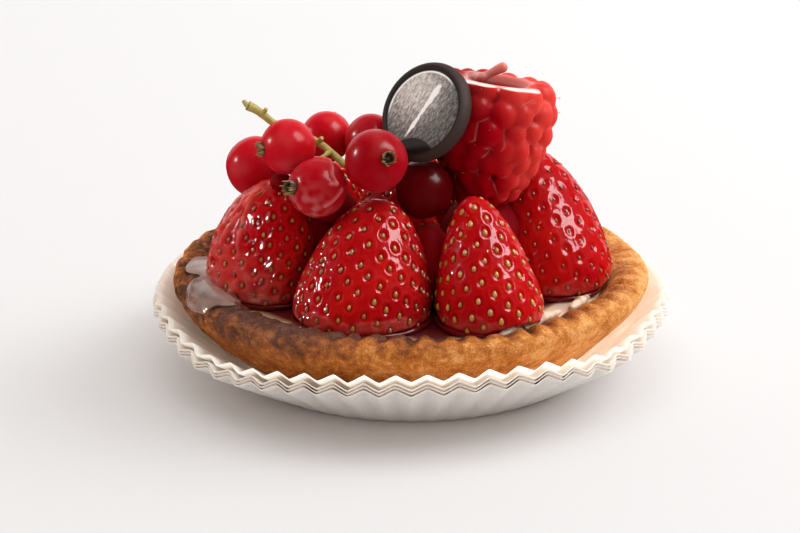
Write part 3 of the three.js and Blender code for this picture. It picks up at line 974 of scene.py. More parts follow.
def berry_width(share, blunt, foot):
    """A strawberry's width from its cut face (0) to its tip (1), as a share of its widest."""
    widest = BERRY["widest"]
    low = 1 - (1 - foot) * (np.clip(widest - share, 0, None) / widest) ** 2
    rest = held((share - widest) / (1 - widest))
    high = np.clip(1 - rest ** blunt, 0, None) ** (1 / 1.95)
    return np.where(share < widest, low, high)


def axis_at(berry, share):
    """Where a strawberry's leaning axis passes, from its cut face (0) to its tip (1)."""
    centre, tip = berry[0], berry[3]
    lean = share ** 1.5
    return [centre[side] + (tip[side] - centre[side]) * lean for side in (0, 1)]


def berry_places(berry, index, share, width, angle):
    """Points on a strawberry, for height shares, width shares and angles round it."""
    _, half, turn, tip, _, _ = berry
    swell = 1 + 0.02 * uneven_round(100 + index, 2, 4)(angle) * np.sin(math.pi * share)
    across = width * np.cos(angle) * half[0] * swell
    along = width * np.sin(angle) * half[1] * swell
    turn = math.radians(turn)
    right, back = axis_at(berry, share)
    right = right + across * math.cos(turn) - along * math.sin(turn)
    back = back + across * math.sin(turn) + along * math.cos(turn)
    rise = (tip[2] - BERRY["base_height"]) * share
    limit = CRUST["inner_radius"] - BERRY["rim_gap"] + rise * BERRY["rim_slope"]
    inside = np.minimum(1, limit / np.hypot(right, back))
    return np.column_stack([right * inside, back * inside, BERRY["base_height"] + rise])


def crowding(points, skip):
    """How closely other fruit hems in each point: 0 in the open, 1 where they touch."""
    closest = np.full(len(points), 9.0)
    for index, berry in enumerate(STRAWBERRIES):
        if index == skip:
            continue
        _, half, _, tip, blunt, foot = berry
        share = held((points[:, 2] - BERRY["base_height"]) / (tip[2] - BERRY["base_height"]))
        right, back = axis_at(berry, share)
        width = berry_width(share, blunt, foot) * (half[0] + half[1]) / 2
        gap = np.hypot(points[:, 0] - right, points[:, 1] - back) - width
        gap = gap + np.clip(points[:, 2] - tip[2], 0, None)
        closest = np.minimum(closest, gap)
    for centre, radius, _, _ in CURRANTS:
        gap = np.linalg.norm(points - np.array(centre), axis=1) - radius
        closest = np.minimum(closest, gap + 0.8)
    return held(1 - closest / 3.6)


def seed_places(berry, index, pitch):
    """Even places for the seeds, wound round the fruit in a golden spiral."""
    _, half, _, tip, blunt, foot = berry
    share = np.linspace(0, 1, 400)
    radius = berry_width(share, blunt, foot) * (half[0] + half[1]) / 2
    height = share * (tip[2] - BERRY["base_height"])
    step = np.hypot(np.diff(radius), np.diff(height))
    area = np.concatenate([[0], np.cumsum(TURN * (radius[1:] + radius[:-1]) / 2 * step)])
    count = int(area[-1] / (pitch ** 2 * 0.92))
    draw = draws_from(300 + index)
    numbers = np.arange(count)
    wobble = np.array([draw() - 0.5 for _ in range(2 * count)]).reshape(2, count)
    wanted = (numbers + 0.6 + 0.9 * wobble[0]) / count * area[-1]
    shares = np.interp(wanted, area, share)
    angles = numbers * GOLDEN_ANGLE + wobble[1] * 0.6 / (berry_width(shares, blunt, foot) * 9 + 1)
    keep = (shares > 0.03) & (shares < 0.985)
    return shares[keep], angles[keep]


def strawberry_blank(index):
    """A smooth strawberry, with each vertex's share of the height and angle round it."""
    berry = STRAWBERRIES[index]
    *_, blunt, foot = berry
    rings = 12
    shares = [1 - (1 - step / rings) ** 1.12 for step in range(rings)]
    shares += [0.955, 0.985, 0.996]
    unit = 10
    outline = [(float(berry_width(0, blunt, foot)) * unit * 0.5, 0)]
    outline += [(float(berry_width(share, blunt, foot)) * unit, share * unit) for share in shares]
    piece = turned(f"strawberry_{index + 1}_fruit", outline, 46)
    subdivide(piece, 3)
    flat = points_of(piece) / unit
    width, angle = round_middle(flat)
    level = held(flat[:, 2])
    put_points(piece, berry_places(berry, index, level, width, angle))
    return piece, level, angle


def seed_seats(index, pitch):
    """Where each seed sits, the way it faces and the way from it to the tip."""
    berry = STRAWBERRIES[index]
    *_, blunt, foot = berry
    shares, angles = seed_places(berry, index, pitch)

    def place(higher, further):
        level = shares + higher
        width = berry_width(level, blunt, foot)
        return berry_places(berry, index, level, width, angles + further)

    seats = place(0, 0)
    uphill = place(0.01, 0) - seats
    outward = np.cross(place(0, 0.02) - seats, uphill)
    outward /= np.linalg.norm(outward, axis=1)[:, None]
    uphill /= np.linalg.norm(uphill, axis=1)[:, None]
    return seats, outward, uphill


def pits(points, seats, outward, uphill):
    """Relief of a pit with a soft raised edge round each seed, 1 being a pit's full depth."""
    relief = np.zeros(len(points))
    for seat, ahead, aside in zip(seats, uphill, np.cross(uphill, outward)):
        offset = points - seat
        near = np.abs(offset).sum(axis=1) < PIT["span"]
        away = offset[near]
        reach = np.hypot(away @ ahead / PIT["stretch"], away @ aside)
        reach = np.maximum(reach, np.linalg.norm(away, axis=1) * 0.8)
        ring = 0.2 * near_to(reach, PIT["ring"], PIT["ring_width"])
        relief[near] += ring - near_to(reach, 0, PIT["width"], 4)
    return relief


def foot_glaze(points, index, angle):
    """The glaze round a strawberry's foot: the ridge of its wavy upper edge, and where it is milky
    pink, partly a painted reflection of the pale crust and floor, brightest on the ridge as a
    painted highlight.
    """
    above = points[:, 2] - BERRY["base_height"]
    line = 2.7 + 1.1 * uneven_round(1500 + index, 3, 8)(angle) + 0.5 * noise_at(points, 1.6, 77)
    edge = near_to(above, line, 0.24) * held(0.5 + noise_at(points, 2.6, 78) * 2)
    return edge, passed(above, line, -0.5) * 0.5 + edge * 0.9


def thick_glaze(level, angle):
    """Folds of the thick glaze on the left strawberry's side, and where it is milky, with a painted
    sheen on the folds and the left side.
    """
    rises, haze_and_sheen = 0, 0
    for bearing, slant, rise in GLAZE_FOLDS:
        away = np.degrees(angle) % 360 - bearing - slant * (level - 0.7) * 6
        fold = near_to(away, 0, 2.6) * passed(level, 0.42, 0.15) * passed(level, 0.97, -0.1)
        rises = rises + rise * fold
        haze_and_sheen = haze_and_sheen + fold * 0.8
    haze_and_sheen = haze_and_sheen + toward(angle, 163) ** 9 * 0.4
    return rises, haze_and_sheen + toward(angle, 218) ** 5 * held(0.9 - level * 1.7, 0, 0.7)


def strawberry_seeds(index, seats, outward, uphill, pit_depth):
    """All the seeds of one strawberry, sunk into their pits."""
    start_afresh()
    bpy.ops.mesh.primitive_uv_sphere_add(segments=8, ring_count=6, radius=MM)
    pattern = bpy.context.object
    shape = points_of(pattern)
    shape[:, 0] *= 1 - 0.3 * shape[:, 1]
    put_points(pattern, shape)
    draw = draws_from(500 + index)
    frames = []
    tones = []
    for seat, normal, ahead in zip(seats, outward, uphill):
        size = (0.85 + 0.3 * draw()) * SEED_SIZES[index]
        sink = 0.3 * pit_depth + 0.05 + 0.12 * draw()
        frames.append(facing_frame(
            seat - normal * sink, normal, ahead, (0.42 * size, 0.62 * size, 0.3)))
        tones.append(SEED_TONES[index] + 0.3 * draw())
    seeds = spread(f"strawberry_{index + 1}_seeds", pattern, frames)
    crown = held(shape[:, 2]) ** 0.5
    put_values(seeds, "tone", (np.array(tones)[:, None] * (0.35 + 0.65 * crown)).ravel())
    smooth(seeds)
    return seeds


def strawberry(index, sizes):
    """A strawberry with its pits and glaze, and its seeds."""
    piece, level, angle = strawberry_blank(index)
    points = points_of(piece)
    normals = normals_of(piece)
    pit_depth = sizes.pit_depth / MM
    seats, outward, uphill = seed_seats(index, sizes.seed_pitch / MM)
    depth = pits(points, seats, outward, uphill) * pit_depth * PIT_SHARES[index]
    edge, haze_and_sheen = foot_glaze(points, index, angle)
    depth += edge * 0.13
    if index == 0:
        rises, milk = thick_glaze(level, angle)
        depth += rises
        haze_and_sheen = haze_and_sheen + milk
    rough = 0.1 if index == 0 else 0.04
    depth += noise_at(points, 4.5, index) * 0.16 + noise_at(points, 1.6, index + 20) * rough
    # Milky glaze with a painted sheen: a pale pink reflection near the foot, and light on the glaze
    # folds
    haze_and_sheen = haze_and_sheen * HAZE_AND_SHEEN_SHARES[index] * (0.7 + 1.1 * noise_at(points, 1.9, index + 60))
    # Painted shade where other fruit is close
    crowd_shade = crowding(points, index)
    put_values(piece, "crowd_shade", crowd_shade)
    put_values(piece, "haze_and_sheen", held(haze_and_sheen) * (1 - crowd_shade))
    foot_fade = held((points[:, 2] - BERRY["base_height"]) / 1.2)
    put_points(piece, points + normals * (depth * foot_fade)[:, None])
    smooth(piece)
    return piece, strawberry_seeds(index, seats, outward, uphill, pit_depth)


def glaze_facets(index):
    """Small flat beads of glaze on a strawberry, turned to catch the small lamp."""
    berry = STRAWBERRIES[index]
    draw = draws_from(1300 + index)
    spots = [facet[1:] for facet in FACETS if facet[0] == index]
    for which, low, high, first, last, count in STREWN:
        if which == index:
            spots += [
                (low + (high - low) * draw(), first + (last - first) * draw(), 0.13 + 0.19 * draw())
                for _ in range(count)]
    pattern = small_ball(2)
    frames = []
    for share, bearing, size in spots:
        level = np.array([share])
        width = berry_width(level, berry[4], berry[5])
        place = berry_places(berry, index, level, width, np.radians([float(bearing)]))[0]
        facing = Vector(GLINT_WAY) + Vector((draw() - 0.5, draw() - 0.5, draw() - 0.5)) * 0.1
        along = Vector((draw() - 0.5, draw() - 0.5, 1.0))
        scale = (size * (0.7 + 0.3 * draw()), size * (1.0 + 0.4 * draw()), size * 0.09)
        centre = np.array((*berry[0], BERRY["base_height"] + share * 12))
        raised = place + (place - centre) / np.linalg.norm(place - centre) * size * 0.3
        frames.append(facing_frame(raised, facing, along, scale))
    piece = spread(f"strawberry_{index + 1}_facets", pattern, frames)
    subdivide(piece, 1)
    put_values(piece, "haze_and_sheen", np.full(len(piece.data.vertices), 0.1))
    smooth(piece)
    return piece


def strawberry_material(colours, name, rippled):
    """Glazed red flesh with painted shade where other fruit is close, and milky thick glaze with a
    painted sheen.
    """
    material, shader = fruit_skin(name, colours.strawberry, 1.6, 0.42, 1.0, 0.03)
    blush = grain(material, 7, 2)
    red = tuple(colours.strawberry)
    light = (min(1, red[0] * 1.25), red[1] * 2 + 0.004, red[2] * 1.2)
    flesh = ramp(material, blush, ((0.35, red), (0.75, light)))
    # Painted shade: darker red where other fruit is close
    shaded = mix(material, stored(material, "crowd_shade"), flesh, (0.13, 0.001, 0.003))
    # Milky glaze, partly a painted reflection and sheen
    milky = mix(material, stored(material, "haze_and_sheen"), shaded, (0.8, 0.2, 0.17))
    join(material, milky, shader.inputs["Base Color"])
    roughen(material, shader, grain(material, 0.55, 3), 0.05)
    if rippled:
        roughen(material, shader, grain(material, 2.4, 0), 0.08, socket="Coat Normal")
    return material


def seed_material(colours):
    """Seeds from ripe red to pale gold."""
    material, shader = surface(
        "strawberry_seeds", colours.seed, 0.4, coat_weight=0.8, coat_roughness=0.08,
        subsurface_weight=0.3, subsurface_scale=0.4 * MM)
    gold = tuple(colours.seed)
    ripe = (gold[0] * 0.4, gold[1] * 0.06, gold[2] * 0.1)
    pale = (0.8, 0.52, 0.17)
    tone = ramp(material, stored(material, "tone"), (
        (0.06, ripe), (0.3, (0.42, 0.15, 0.02)), (0.6, gold), (0.9, pale)))
    join(material, tone, shader.inputs["Base Color"])
    return material


def currant_folds(points, radius):
    """Wrinkles of the glaze over one currant: the points moved out, and where it is milky, with
    painted highlights on the wrinkles and at the lower left.
    """
    unit = points / np.linalg.norm(points, axis=1)[:, None]
    haze_and_sheen = 0
    for line in CURRANT_FOLDS:
        stops = np.linspace(0, len(line) - 1, 40)
        path = np.column_stack([
            np.interp(stops, range(len(line)), channel) for channel in zip(*line)])
        apart = np.linalg.norm(unit[:, None, :] - path[None, :, :], axis=2).min(axis=1)
        fold = near_to(apart * radius, 0, 0.32)
        points = points + unit * (fold * 0.42)[:, None]
        haze_and_sheen = haze_and_sheen + fold * 0.75
    # Painted highlight: a pale area at the lower left
    low = held(unit @ np.array((-0.42, -0.8, -0.42))) ** 3
    haze_and_sheen = haze_and_sheen + low * held(0.5 + noise_at(points, 1.3, 88) * 1.4) * 0.75
    return points + unit * (low * noise_at(points, 1.1, 89) * 0.25)[:, None], haze_and_sheen


def currant(index):
    """A currant, turned so that its dimple faces the way of its dried flower."""
    centre, radius, tuft, _ = CURRANTS[index]
    folded = index == FOLDED_CURRANT
    detail = 2.5 if folded else 1
    start_afresh()
    bpy.ops.mesh.primitive_uv_sphere_add(
        segments=int(72 * detail), ring_count=int(44 * detail), radius=radius * MM)
    piece = bpy.context.object
    piece.name = f"currant_{index + 1}_fruit"
    points = points_of(piece)
    polar = np.arccos(held(points[:, 2] / radius, -1, 1))
    _, around = round_middle(points)
    swell = 1 + 0.012 * uneven_round(700 + index, 2, 5)(around) * np.sin(polar)
    points = points * (swell - 0.5 * near_to(polar, 0, 0.2) / radius)[:, None]
    turn = Vector((0, 0, 1)).rotation_difference(Vector(tuft).normalized()).to_matrix()
    points = points @ np.array(turn).T
    # Random milky bloom; on the folded currant, painted highlights are added along the folds and at
    # the lower left
    haze_and_sheen = held(noise_at(points, 3.0, 81 + index) - 0.1) * 0.25
    if folded:
        points, milk = currant_folds(points, radius)
        haze_and_sheen = haze_and_sheen + milk
    put_values(piece, "haze_and_sheen", held(haze_and_sheen))
    put_points(piece, points + np.array(centre))
    put_values(piece, "vein", np.abs(np.cos(around * 6 + 0.6 * np.sin(3 * around))))
    put_values(piece, "tone", np.full(len(points), CURRANT_TONES_AND_SHADE[index]))
    smooth(piece)
    return piece


def currant_husk(index):
    """The withered flower: a ragged crown of dry petals round a dark hollow."""
    centre, radius, tuft, length = CURRANTS[index]
    draw = draws_from(900 + index)
    axis = Vector(tuft).normalized()
    side = axis.orthogonal().normalized()
    root = Vector(centre) + axis * (radius - 0.6)
    petals = []
    count = 15
    for step in range(count):
        start_afresh()
        bpy.ops.mesh.primitive_uv_sphere_add(segments=10, ring_count=8, radius=MM)
        petal = bpy.context.object
        shape = points_of(petal)
        reach = length * (0.75 + 0.5 * draw())
        lean = 0.1 + 0.5 * draw()
        rise = (shape[:, 2] + 1) / 2
        shape[:, 0] *= 0.12 + 0.08 * draw()
        shape[:, 1] *= 0.3 * (1.1 - 0.6 * rise)
        shape[:, 2] = rise * (reach + 0.6)
        shape[:, 0] += lean * rise ** 2 - 0.35 * rise ** 4 * draw()
        turn = Matrix.Rotation(TURN * (step + 0.5 * draw()) / count, 3, axis)
        out = (turn @ side).normalized()
        seat = root + out * (0.78 + 0.3 * draw())
        put_points(petal, shape @ np.array([out, axis.cross(out), axis]) + np.array(seat))
        petals.append(petal)
    core = small_ball(2, 0.75)
    put_points(core, points_of(core) * (1, 1, 0.8) + np.array(root + axis * 0.2))
    piece = joined(f"currant_{index + 1}_husk", petals + [core])
    points = points_of(piece)
    crumple = np.column_stack([noise_at(points, 0.6, seed) for seed in (31, 32, 33)])
    points = points + crumple * 0.12
    put_points(piece, points)
    away = points - np.array(root)
    outward = away @ np.array(axis)
    across = np.linalg.norm(away - outward[:, None] * np.array(axis), axis=1)
    put_values(piece, "edge", held(across - 0.5) * held(outward / length))
    smooth(piece)
    return piece


def currant_material(colours):
    """Clear red skin with pale veins, milky glaze with painted highlights, and painted shade on the
    darker currants.
    """
    material, shader = fruit_skin("redcurrant_skin", colours.currant, 2.0, 0.34, 0.42, 0.18)
    red = tuple(colours.currant)
    pale = (min(1, red[0] * 1.15), red[1] * 3 + 0.01, red[2] * 3 + 0.01)
    dark = (red[0] * 0.16, red[1] * 0.3, red[2] * 0.3)
    vein = ramp(material, stored(material, "vein"), ((0.0, pale), (0.12, red)))
    cloud = ramp(material, grain(material, 3.5, 2), ((0.3, red), (0.8, pale)))
    skin = mix(material, 0.3, cloud, vein)
    skin = mix(material, stored(material, "haze_and_sheen"), skin, (0.75, 0.24, 0.24))
    # Painted shade: the currant deep between the fruit is darkest
    ripeness_and_shade = ramp(material, stored(material, "tone"), ((0.0, dark), (0.8, (1, 1, 1))))
    join(material, mix(material, 1.0, skin, ripeness_and_shade, "MULTIPLY"), shader.inputs["Base Color"])
    return material


def husk_material(colours):
    """Dry brown petals, paler toward their ends."""
    material, shader = surface("dried_flower", colours.husk, 0.75)
    dark = tuple(channel * 0.3 for channel in colours.husk)
    pale = (0.36, 0.24, 0.09)
    streaks = product(material, grain(material, 0.4, 4), 0.75)
    shade = arithmetic(material, "ADD", streaks, stored(material, "edge"))
    tone = ramp(material, shade, ((0.3, dark), (0.65, tuple(colours.husk)), (1.0, pale)))
    join(material, tone, shader.inputs["Base Color"])
    roughen(material, shader, grain(material, 0.2, 3), 0.15)
    return material


def currant_stalk():
    """The bent stalk of the bunch with the stubs of its side stalks."""
    pieces = [strand("stalk", STEM_PATH, STEM_RADII, 12)]
    pieces += [
        strand(f"spur_{number}", path, (0.55, 0.42, 0.34), 8)
        for number, path in enumerate(STEM_SPURS)
    ]
    piece = joined("currant_stem_stalk", pieces)
    points = points_of(piece)
    knobs = noise_at(points, 1.6, 41) * 0.14
    put_points(piece, points + normals_of(piece) * knobs[:, None])
    smooth(piece)
    return piece


def stem_material(colours):
    """Green stalk with brown and pale streaks."""
    material, shader = surface(
        "currant_stalk", colours.stem, 0.55, subsurface_weight=0.25, subsurface_scale=0.8 * MM)
    green = tuple(colours.stem)
    brown = (0.3, 0.17, 0.06)
    pale = (0.6, 0.52, 0.16)
    tone = ramp(material, grain(material, 1.4, 4), ((0.28, brown), (0.4, green), (0.75, pale)))
    join(material, tone, shader.inputs["Base Color"])
    roughen(material, shader, grain(material, 0.5, 3), 0.12)
    return material


def raspberry_side(height):
    """Radius, height and distance along the fruit's side, from its tip to its rim."""
    radii = np.array([radius for radius, _ in RASPBERRY_SIDE], dtype=float)
    heights = np.array([share * height for _, share in RASPBERRY_SIDE])
    lengths = np.concatenate([[0], np.cumsum(np.hypot(np.diff(radii), np.diff(heights)))])
    return radii, heights, lengths


def raspberry_core(height):
    """The body that the drupelets stand on, with the hollow in its top."""
    radii, heights, lengths = raspberry_side(height)
    total = lengths[-1]
    inset = RASPBERRY["inset"]
    outline = [
        (max(0.8, float(np.interp(step * total, lengths, radii)) - inset),
         float(np.interp(step * total, lengths, heights)) + inset * (1 - step))
        for step in np.linspace(0.06, 1, 9)
    ]
    outline += [(radius, height * share) for radius, share in RASPBERRY_HOLLOW]
    return turned("raspberry_core", outline, 40)


def drupelets(height, draw):
    """Rows of balls up the side, and where each one's hair grows: place, way out and radius."""
    radii, heights, lengths = raspberry_side(height)
    total = lengths[-1]
    small, large = RASPBERRY["small"], RASPBERRY["large"]
    balls = []
    knobs = []
    reached = 0.4
    row = 0
    while reached < total + 0.3:
        size = small + (large - small) * (reached / total)
        middle = float(np.interp(reached, lengths, radii))
        level = float(np.interp(reached, lengths, heights))
        across = max(0, middle - size * (1 - RASPBERRY["sink"]))
        count = max(1, round(TURN * max(across, 0.1) / (size * 1.8)))
        for place in range(count):
            angle = (place + (row % 2) / 2 + (draw() - 0.5) * 0.42) / count * TURN
            radius = size * (0.88 + 0.3 * draw())
            ball = small_ball(3, radius)
            shape = points_of(ball)
            shape[:, 2] *= 1.12
            lifted = level + (draw() - 0.5) * 1.1 + (size * 0.5 if row == 0 else 0)
            lifted = min(lifted, height * 0.985 - radius * 0.95)
            shape += np.array((across * math.cos(angle), across * math.sin(angle), lifted))
            put_points(ball, shape)
            balls.append(ball)
            out = Vector((math.cos(angle), math.sin(angle), 0.25 - 0.8 * (row < 2))).normalized()
            if row > 0 and draw() < 0.1:
                continue
            knobs.append((Vector((across * out.x, across * out.y, lifted)), out, radius))
        reached += size * 1.5
        row += 1
    return balls, knobs


def cut_rim(piece, height):
    """Flattens the near part of the rim, as a knife would, and stores how pale it is there."""
    level = height * 0.945

    def nearness(places):
        return held((2 - places[:, 1] - held(places[:, 0] - 2.5, 0, 5) * 1.6) / 2)

    points = points_of(piece)
    points[:, 2] -= np.clip(points[:, 2] - level, 0, None) * 0.85 * nearness(points)
    put_points(piece, points)
    apply_modifier(piece, "SMOOTH", factor=0.5, iterations=2)
    points = points_of(piece)
    across, _ = round_middle(points)
    upward = passed(normals_of(piece)[:, 2], 0.6, 0.3)
    flat = near_to(points[:, 2], level, 0.6, 4) * upward * held(nearness(points), 0.2, 1)
    flat = flat * (0.3 + 0.7 * passed(across, 6.6, 0.7))
    well = passed(across, 6.4, -0.8) * passed(points[:, 2] / height, 0.9, 0.03) * 0.35
    put_values(piece, "cut", held(np.maximum(flat, well)))
    return points


def colour_raspberry(piece, points, knobs, turn, foot):
    """Stores the painted highlights between drupelets, painted shade where other fruit is close and
    toward the left, and where it glows as if lit through, and stands it up.
    """
    middles = np.array([list(middle) for middle, _, _ in knobs])
    sizes = np.array([radius for _, _, radius in knobs])
    apart = np.linalg.norm(points[:, None, :] - middles[None, :, :], axis=2) - sizes
    order = np.argsort(apart, axis=1)[:, :2]
    rows = np.arange(len(points))
    seam_highlight = apart[rows, order[:, 1]] - apart[rows, order[:, 0]]
    # Painted highlight: pale lines between drupelets on the side toward the light
    lit = (points - middles[order[:, 0]]) @ np.array(turn).T @ np.array(RASPBERRY["lit_way"])
    patches = held(noise_at(points, 2.4, 91) * 2.5)
    put_values(piece, "seam_highlight", held(near_to(seam_highlight, 0.22, 0.18) * patches * held(lit) * 0.4))
    placed = points @ np.array(turn).T + np.array(foot)
    # Painted shade where other fruit is close and toward the left
    crowd_shade = crowding(placed, -1) * 0.8 + held((15.5 - placed[:, 0]) / 9, 0, 0.45)
    put_values(piece, "crowd_shade", held(crowd_shade))
    # Painted light: lighter toward the right and the top, as if lit through
    painted_glow = passed(placed[:, 0], 14.5, 8) + held((placed[:, 2] - 48) / 9, 0, 0.4)
    put_values(piece, "painted_glow", held(painted_glow + noise_at(points, 4.0, 92) * 0.15))
    put_points(piece, placed)


def raspberry_hairs(knobs, turn, foot, draw):
    """A short bent hair on some of the drupelets."""
    hairs = []
    for number, (middle, out, radius) in enumerate(knobs):
        if draw() < 0.6:
            continue
        droop = Vector((draw() - 0.5, draw() - 0.5, draw() - 0.7))
        path = [
            turn @ (middle + out * (radius * 0.9 + reach) + droop * reach ** 2 * 0.4) + foot
            for reach in (0, 0.35, 0.75, 1.05)
        ]
        hairs.append(strand(f"hair_{number}", path, (0.06, 0.05, 0.045, 0.07), 4))
    hair = joined("raspberry_hairs", hairs)
    smooth(hair)
    return hair


def raspberry():
    """The upturned fruit with its cut rim and torn flaps, and its hairs."""
    foot = Vector(RASPBERRY["foot"])
    axis = Vector(RASPBERRY["top"]) - foot
    turn = Vector((0, 0, 1)).rotation_difference(axis).to_matrix()
    pieces = [raspberry_core(axis.length)]
    for place, radius in RASPBERRY_FLAPS:
        flap = small_ball(3, radius)
        put_points(flap, points_of(flap) + np.array(turn.transposed() @ (Vector(place) - foot)))
        pieces.append(flap)
    draw = draws_from(17)
    balls, knobs = drupelets(axis.length, draw)
    piece = joined("raspberry_fruit", pieces + balls)
    apply_modifier(piece, "REMESH", mode="VOXEL", voxel_size=RASPBERRY["voxel"] * MM)
    apply_modifier(piece, "SMOOTH", factor=0.5, iterations=17)
    colour_raspberry(piece, cut_rim(piece, axis.length), knobs, turn, foot)
    smooth(piece)
    return piece, raspberry_hairs(knobs, turn, foot, draw)


def raspberry_material(colours):
    """Red flesh, painted lighter at the right and top as if lit through, with painted shade and
    painted highlights between drupelets, and pale where cut.
    """
    material, shader = fruit_skin("raspberry_flesh", colours.raspberry, 1.8, 0.45, 0.22, 0.1)
    red = tuple(colours.raspberry)
    bright = (0.7, 0.055, 0.045)
    flesh = ramp(material, stored(material, "painted_glow"), ((0.0, red), (1.0, bright)))
    # Painted shade
    shaded = mix(material, stored(material, "crowd_shade"), flesh, (0.14, 0.0005, 0.003))
    highlight_arcs = mix(material, stored(material, "seam_highlight"), shaded, (0.9, 0.3, 0.27))
    cut = mix(material, stored(material, "cut"), highlight_arcs, (0.95, 0.72, 0.66))
    join(material, cut, shader.inputs["Base Color"])
    roughen(material, shader, grain(material, 0.7, 3), 0.04)
    return material


def streak_highlight_on(flat, points):
    """How bright the painted highlight streak is at each place: a tapering line down the disc's
    face.
    """
    start, end = (np.array(place) for place in DISC["streak_highlight"])
    run = end - start
    away = flat[:, :2] - start
    down = away @ run / (run @ run)
    aside = np.abs(away @ np.array((run[1], -run[0]))) / np.linalg.norm(run)
    wide = np.interp(down, *DISC["streak_highlight_widths"]) + 0.12 * noise_at(points, 0.5, 52)
    ends = passed(down, -0.02, 0.06) * passed(down, 1, -0.1)
    return held((wide - aside) / 0.12 + 0.5) * ends


def chocolate_disc():
    """A thick button of chocolate with a round edge and a slightly sunk dusted face."""
    half, face = DISC["thickness"] / 2, DISC["face_radius"]
    outline = [(0.3, -half), (DISC["radius"] * 0.4, -half)]
    outline += [
        (DISC["radius"] - half + half * math.cos(angle), half * math.sin(angle))
        for angle in np.linspace(-math.pi / 2, math.pi / 2, 13)
    ]
    outline += [(face, half + 0.02), (face - 0.25, half - 0.08), (face - 0.6, half - 0.12)]
    outline += [(radius, half - 0.14) for radius in np.linspace(face - 1, 0.3, 14)]
    piece = turned("chocolate_disc_button", outline, 48)
    subdivide(piece, 2)
    points = points_of(piece)
    flat = points.copy()
    points[:, 2] += noise_at(points, 2.2, 51) * 0.03
    facing = Vector(DISC["facing"]).normalized()
    side = Vector((0, 0, 1)).cross(facing).normalized()
    turn = np.array(Matrix((side, facing.cross(side), facing)).transposed())
    put_points(piece, points @ turn.T + np.array(DISC["centre"]))
    layer = piece.data.uv_layers.new(name="face")
    corners = np.empty(len(piece.data.loops), dtype=np.int64)
    piece.data.loops.foreach_get("vertex_index", corners)
    layer.data.foreach_set("uv", (flat[corners, :2] / DISC["chart"] + 0.5).ravel())
    put_values(piece, "front", held((flat[:, 2] - half + 0.4) / 0.25))
    put_values(piece, "streak_highlight", streak_highlight_on(flat, points))
    smooth(piece)
    return piece


def face_chart(material):
    """The place on the disc's face."""
    chart = add_node(material, "UVMap")
    chart.uv_map = "face"
    return chart.outputs["UV"]


def within(material, spot, start, end):
    """A round area of the disc's face: 0 at the first distance from a spot, 1 at the second."""
    made = add_node(material, "VectorMath")
    made.operation = "DISTANCE"
    join(material, face_chart(material), made.inputs[0])
    made.inputs[1].default_value = (*(side / DISC["chart"] + 0.5 for side in spot), 0)
    return fade(material, made.outputs["Value"], start / DISC["chart"], end / DISC["chart"])


def brushed_dust(material):
    """Fine patches of dust, drawn out along the disc's lean."""
    patches = add_node(material, "TexNoise", Scale=38.0, Detail=8.0, Roughness=0.8)
    drawn_out = add_node(
        material, "Mapping", Rotation=(0, 0, math.radians(72)), Scale=(1.9, 0.8, 1))
    drawn_out.vector_type = "TEXTURE"
    join(material, face_chart(material), drawn_out.inputs["Vector"])
    join(material, drawn_out.outputs["Vector"], patches.inputs["Vector"])
    return patches.outputs["Fac"]


def disc_material(colours):
    """Dark chocolate, with grainy silver dust over most of its face, painted shade on the rest of
    the face, and painted highlights and reflection on the dust.
    """
    material, shader = surface(
        "chocolate_and_silver", colours.chocolate, 0.6, specular_ior_level=0.2)

    # The dusted patch, and the dark part at its foot, a painted shadow
    dusted = within(material, (0.5, -0.3), 7.35, 7.15)
    unshadowed = within(material, (1.6, -10.5), 5.45, 5.65)
    cover = product(material, product(material, dusted, unshadowed), stored(material, "front"))

    # Dust, with a painted reflection that makes it lighter at the upper left
    patches = brushed_dust(material)
    grainy = fade(material, patches, 0.36, 0.64)
    lit = product(material, within(material, (-2.6, 3.4), 10.5, 1), 0.56)
    shade = arithmetic(material, "ADD", lit, product(material, grainy, 0.5))
    silver = tuple(colours.silver)
    dull, middling = (tuple(channel * part for channel in silver) for part in (0.12, 0.38))
    face = ramp(material, shade, (
        (0.1, dull), (0.42, middling), (0.72, silver), (1.0, (0.85, 0.8, 0.76))))

    # The patch's painted highlight along its upper left edge, and the painted highlight streak
    # across it
    edge_highlight = product(
        material, within(material, (0.5, -0.3), 6.8, 7.1), within(material, (-5, 8), 11, 8.5))
    streak_grain = arithmetic(material, "ADD", grainy, 0.8)
    # Painted highlight streak, broken by the grain
    streak_highlight = product(material, stored(material, "streak_highlight"), streak_grain)
    bright = arithmetic(material, "MAXIMUM", edge_highlight, streak_highlight)
    face = mix(material, bright, face, (0.97, 0.95, 0.93))
    dark = tuple(colours.chocolate)
    # Painted shade: the sunk face is darker where no dust covers it
    shaded_face = tuple(channel * 0.35 for channel in dark)
    chocolate = mix(material, stored(material, "front"), dark, shaded_face)
    join(material, mix(material, cover, chocolate, face), shader.inputs["Base Color"])
    join(material, product(material, cover, 0.25), shader.inputs["Metallic"])
    roughen(material, shader, patches, 0.08)
    return material


def glaze_material():
    """Clear glaze, milky where it is thick."""
    material, shader = surface(
        "clear_glaze", (0.55, 0.37, 0.31), 0.3, coat_weight=1.0, coat_roughness=0.05)
    join(material, stored(material, "milk"), shader.inputs["Alpha"])
    return material


def gap_glaze_and_shade_material():
    """Dark glaze in the gaps, nearly without a shine, as dark as painted shade between the fruit.
    """
    return surface("dark_glaze_and_shade", (0.22, 0.001, 0.004), 0.6, specular_ior_level=0.02)[0]


def juice_and_shade_material():
    """Dark red juice with a thin clear coat, its darkness also painted shade at the strawberries'
    feet.
    """
    return surface(
        "red_juice_and_shade", (0.16, 0.004, 0.005), 0.3, specular_ior_level=0.1, coat_weight=0.4,
        coat_roughness=0.06, coat_ior=1.4)[0]


